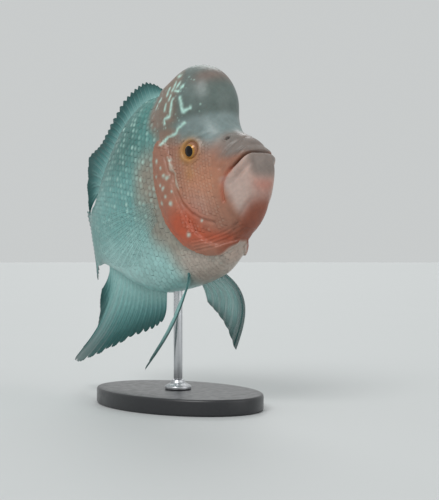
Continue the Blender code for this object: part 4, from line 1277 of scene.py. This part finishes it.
class FLOWERHORN_OT_paired_fins(bpy.types.Operator):
    """Makes the clear pectoral fins and the pointed pelvic fins"""
    bl_idname = "flowerhorn.paired_fins"
    bl_label = "Pectoral and pelvic fins"

    def execute(self, context):
        clear, dark = ([painted(name, (500, 0.92, 1.08), (0.30, 0.42), ((3000, 0.10, 0.0002),),
                                Coat_Weight=0.15, Coat_Roughness=0.15, Alpha=alpha)
                        for name, alpha in finishes]
                       for finishes in ((("clear_fin_membrane", 0.07), ("clear_fin_rays", 0.26)),
                                        (("pelvic_fin_membrane", 0.66), ("pelvic_fin_rays", 0.92))))

        def pale(tone, u, v, ridge):
            paint(tone, colours().belly, 0.75 * (1 - 0.5 * ridge))

        def streaked(tone, u, v, ridge):
            paint(tone, colours().belly, 0.72 * ease(0.0, 0.40, u) * ease(1.1, 0.6, v))
            paint(tone, colours().fin_edge, 0.80 * ease(0.22, 0.02, u) * ease(0.10, 0.4, v))

        root = [flank_point(s, level) for s, level in ((0.376, -0.020), (0.380, -0.045), (0.382, -0.072))]
        tips = [(0.590, 0.165, -0.010), (0.625, 0.172, -0.080), (0.610, 0.166, -0.150),
                (0.550, 0.155, -0.195), (0.480, 0.145, -0.205)]
        for name, side in (("right", -1), ("left", 1)):
            surface = side_surface(side, root, tips, [(0, 0.014, 0)] * 2)
            fin(name + "_pectoral", surface, 11, 0, 44, lambda u: 0.04, 0.00035, clear, "clear_fin",
                "pectoral_fin_" + name, pale, 34, 0.0004)
        root = [belly_point(s, y) for s, y in ((0.335, 0.062), (0.360, 0.042), (0.385, 0.022))]
        blades = (("right", -1, [(0.614, 0.070, -0.525), (0.584, 0.056, -0.483), (0.525, 0.042, -0.428),
                                 (0.478, 0.028, -0.378)], [(-0.036, 0, -0.012), (0.012, 0, 0)]),
                  ("left", 1, [(0.385, 0.128, -0.504), (0.380, 0.104, -0.437), (0.385, 0.076, -0.380),
                               (0.392, 0.045, -0.340)], [(-0.064, 0.020, 0.004), (0, 0.004, 0)]))
        for name, side, tips, bulge in blades:
            surface = side_surface(side, root, tips, bulge)
            fin(name + "_pelvic", surface, 6, 1, 64, lambda u: 0.015, 0.00050, dark, "dark_fin",
                "pelvic_fin_" + name, streaked, 35, 0.0008, 0.004)
        return {"FINISHED"}


def satin_black():
    finish = Finish("satin_black")
    finish.blend((0.012, 0.012, 0.014), (0.020, 0.021, 0.024), finish.noise(600, 4))
    finish.link(finish.spread(finish.noise(220, 4), 0.30, 0.42), finish.shader.inputs["Roughness"])
    finish.link(finish.bump(finish.noise(5000, 2), 0.12, 0.0001), finish.shader.inputs["Normal"])
    finish.set(Coat_Weight=0.15, Coat_Roughness=0.25)
    return finish.material


def brushed_steel():
    finish = Finish("brushed_steel")
    lines = finish.noise(900, 3, stretch=(1, 1, 14))
    finish.link(finish.spread(lines, 0.22, 0.38), finish.shader.inputs["Roughness"])
    finish.blend((0.50, 0.51, 0.53), (0.66, 0.67, 0.69), lines)
    finish.link(finish.bump(lines, 0.08, 0.0001), finish.shader.inputs["Normal"])
    finish.set(Metallic=1.0)
    return finish.material


def turned(name, profile, steps, finish, slot, node, stretch=1.0):
    """Piece turned round the Z axis from an (r, z) profile, with eased edges; stretch narrows it across."""
    mesh = bmesh.new()
    points = [mesh.verts.new((radius, 0, height)) for radius, height in profile]
    for a, b in zip(points, points[1:]):
        mesh.edges.new((a, b))
    made = bpy.data.meshes.new(name)
    mesh.to_mesh(made)
    mesh.free()
    piece = bpy.data.objects.new(name, made)
    bpy.context.scene.collection.objects.link(piece)
    lathe = piece.modifiers.new("lathe", "SCREW")
    lathe.steps = lathe.render_steps = steps
    lathe.use_merge_vertices = True
    lathe.merge_threshold = 1e-6
    easing = piece.modifiers.new("eased edges", "BEVEL")
    easing.width, easing.segments, easing.angle_limit = 0.0004, 3, math.radians(25)
    made = evaluated_mesh(piece)
    bpy.data.objects.remove(piece)
    shell = bmesh.new()
    shell.from_mesh(made)
    bmesh.ops.recalc_face_normals(shell, faces=shell.faces)
    bmesh.ops.scale(shell, verts=shell.verts, vec=(1, stretch, 1))
    shell.to_mesh(made)
    shell.free()
    made.shade_smooth()
    made.set_sharp_from_angle(angle=math.radians(50))
    put(name, made, finish, slot, node)


class FLOWERHORN_OT_stand(bpy.types.Operator):
    """Makes the oval base, the turned collar and the brushed rod"""
    bl_idname = "flowerhorn.stand"
    bl_label = "Stand"

    def execute(self, context):
        black, steel = satin_black(), brushed_steel()
        low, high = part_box("stand_base")
        radius, top, rounding, foot = (high.x - low.x) / 2, high.z, 0.0018, 0.0008
        edge = [(radius - rounding + rounding * math.sin(a), top - rounding + rounding * math.cos(a))
                for a in np.radians(np.linspace(0, 90, 7))]
        profile = [(0, top), (radius - 0.010, top)] + edge + [(radius, foot), (radius - foot, 0), (0, 0)]
        narrow = (high.y - low.y) / (high.x - low.x)
        turned("oval_base", profile, 128, black, "stand_base", "stand_base", narrow)
        low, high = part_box("stand_collar")
        radius = (high.x - low.x) / 2
        foot, shoulder = low.z, high.z
        profile = [(0, shoulder), (0.0040, shoulder), (0.0042, shoulder - 0.0008),
                   (0.0050, shoulder - 0.0022), (radius - 0.0008, foot + 0.0026), (radius, foot + 0.0020),
                   (radius, foot), (0, foot)]
        turned("collar", profile, 72, steel, "stand_metal", "stand_collar")
        low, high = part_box("stand_rod")
        radius = (high.x - low.x) / 2
        profile = [(0, high.z + 0.004), (radius, high.z + 0.004), (radius, low.z), (0, low.z)]
        turned("rod", profile, 48, steel, "stand_metal", "stand_rod")
        return {"FINISHED"}


class FLOWERHORN_OT_stage(bpy.types.Operator):
    """Sets the pale floor, the soft lights and the camera"""
    bl_idname = "flowerhorn.stage"
    bl_label = "Studio"

    def execute(self, context):
        mesh = bmesh.new()
        bmesh.ops.create_circle(mesh, cap_ends=True, segments=96, radius=9)
        made = bpy.data.meshes.new("floor")
        mesh.to_mesh(made)
        mesh.free()
        floor = bpy.data.objects.new("floor", made)
        floor.location.z = -0.0002
        finish = Finish("studio_floor")
        pale = linear(colours().floor)
        finish.blend(pale * 0.985, pale, finish.noise(6, 3))
        finish.set(Roughness=0.6)
        made.materials.append(finish.material)
        context.scene.collection.objects.link(floor)

        world = bpy.data.worlds.new("studio")
        world.use_nodes = True
        world.node_tree.nodes["Background"].inputs["Color"].default_value = (0.97, 1.0, 1.0, 1)
        world.node_tree.nodes["Background"].inputs["Strength"].default_value = 0.60
        context.scene.world = world
        lamps = (("key", (0.35, -1.00, 1.05), 1.25, 28), ("fill", (1.20, 0.45, 0.50), 0.45, 50),
                 ("rim", (-0.80, 0.70, 0.90), 0.50, 30))
        for name, where, strength, spread in lamps:
            lamp = bpy.data.lights.new(name, "SUN")
            lamp.energy, lamp.angle = strength, math.radians(spread)
            light = bpy.data.objects.new(name, lamp)
            light.location = where
            light.rotation_euler = (-Vector(where)).to_track_quat("-Z", "Y").to_euler()
            context.scene.collection.objects.link(light)

        lens = bpy.data.cameras.new("camera")
        lens.lens, lens.sensor_width = 86.4, 36
        camera = bpy.data.objects.new("camera", lens)
        camera.location = (0.5886, -0.4943, 0.0991)
        camera.rotation_euler = (math.radians(90), 0, math.radians(48))
        context.scene.collection.objects.link(camera)
        context.scene.camera = camera
        context.scene.view_settings.view_transform = "Standard"
        return {"FINISHED"}


STEPS = (FLOWERHORN_OT_skin, FLOWERHORN_OT_scales, FLOWERHORN_OT_eyes, FLOWERHORN_OT_median_fins,
         FLOWERHORN_OT_paired_fins, FLOWERHORN_OT_stand, FLOWERHORN_OT_stage)


class FLOWERHORN_PT_panel(bpy.types.Panel):
    """Lists the steps that make the fish, and its sizes and colours"""
    bl_label = "Flowerhorn cichlid"
    bl_idname = "FLOWERHORN_PT_panel"
    bl_space_type = "VIEW_3D"
    bl_region_type = "UI"
    bl_category = "Flowerhorn"

    def draw(self, context):
        for step in STEPS:
            self.layout.operator(step.bl_idname)
        for group in (sizes(), colours()):
            box = self.layout.box()
            for name in group.bl_rna.properties.keys():
                if name not in ("rna_type", "name"):
                    box.prop(group, name)


CLASSES = (Colours, Sizes) + STEPS + (FLOWERHORN_PT_panel,)


def register():
    for cls in CLASSES:
        bpy.utils.register_class(cls)
    bpy.types.Scene.flowerhorn_colours = PointerProperty(type=Colours)
    bpy.types.Scene.flowerhorn_sizes = PointerProperty(type=Sizes)


def unregister():
    del bpy.types.Scene.flowerhorn_sizes
    del bpy.types.Scene.flowerhorn_colours
    for cls in reversed(CLASSES):
        bpy.utils.unregister_class(cls)


def main():
    register()
    for step in STEPS:
        group, name = step.bl_idname.split(".")
        getattr(getattr(bpy.ops, group), name)()


if __name__ == "__main__":
    main()
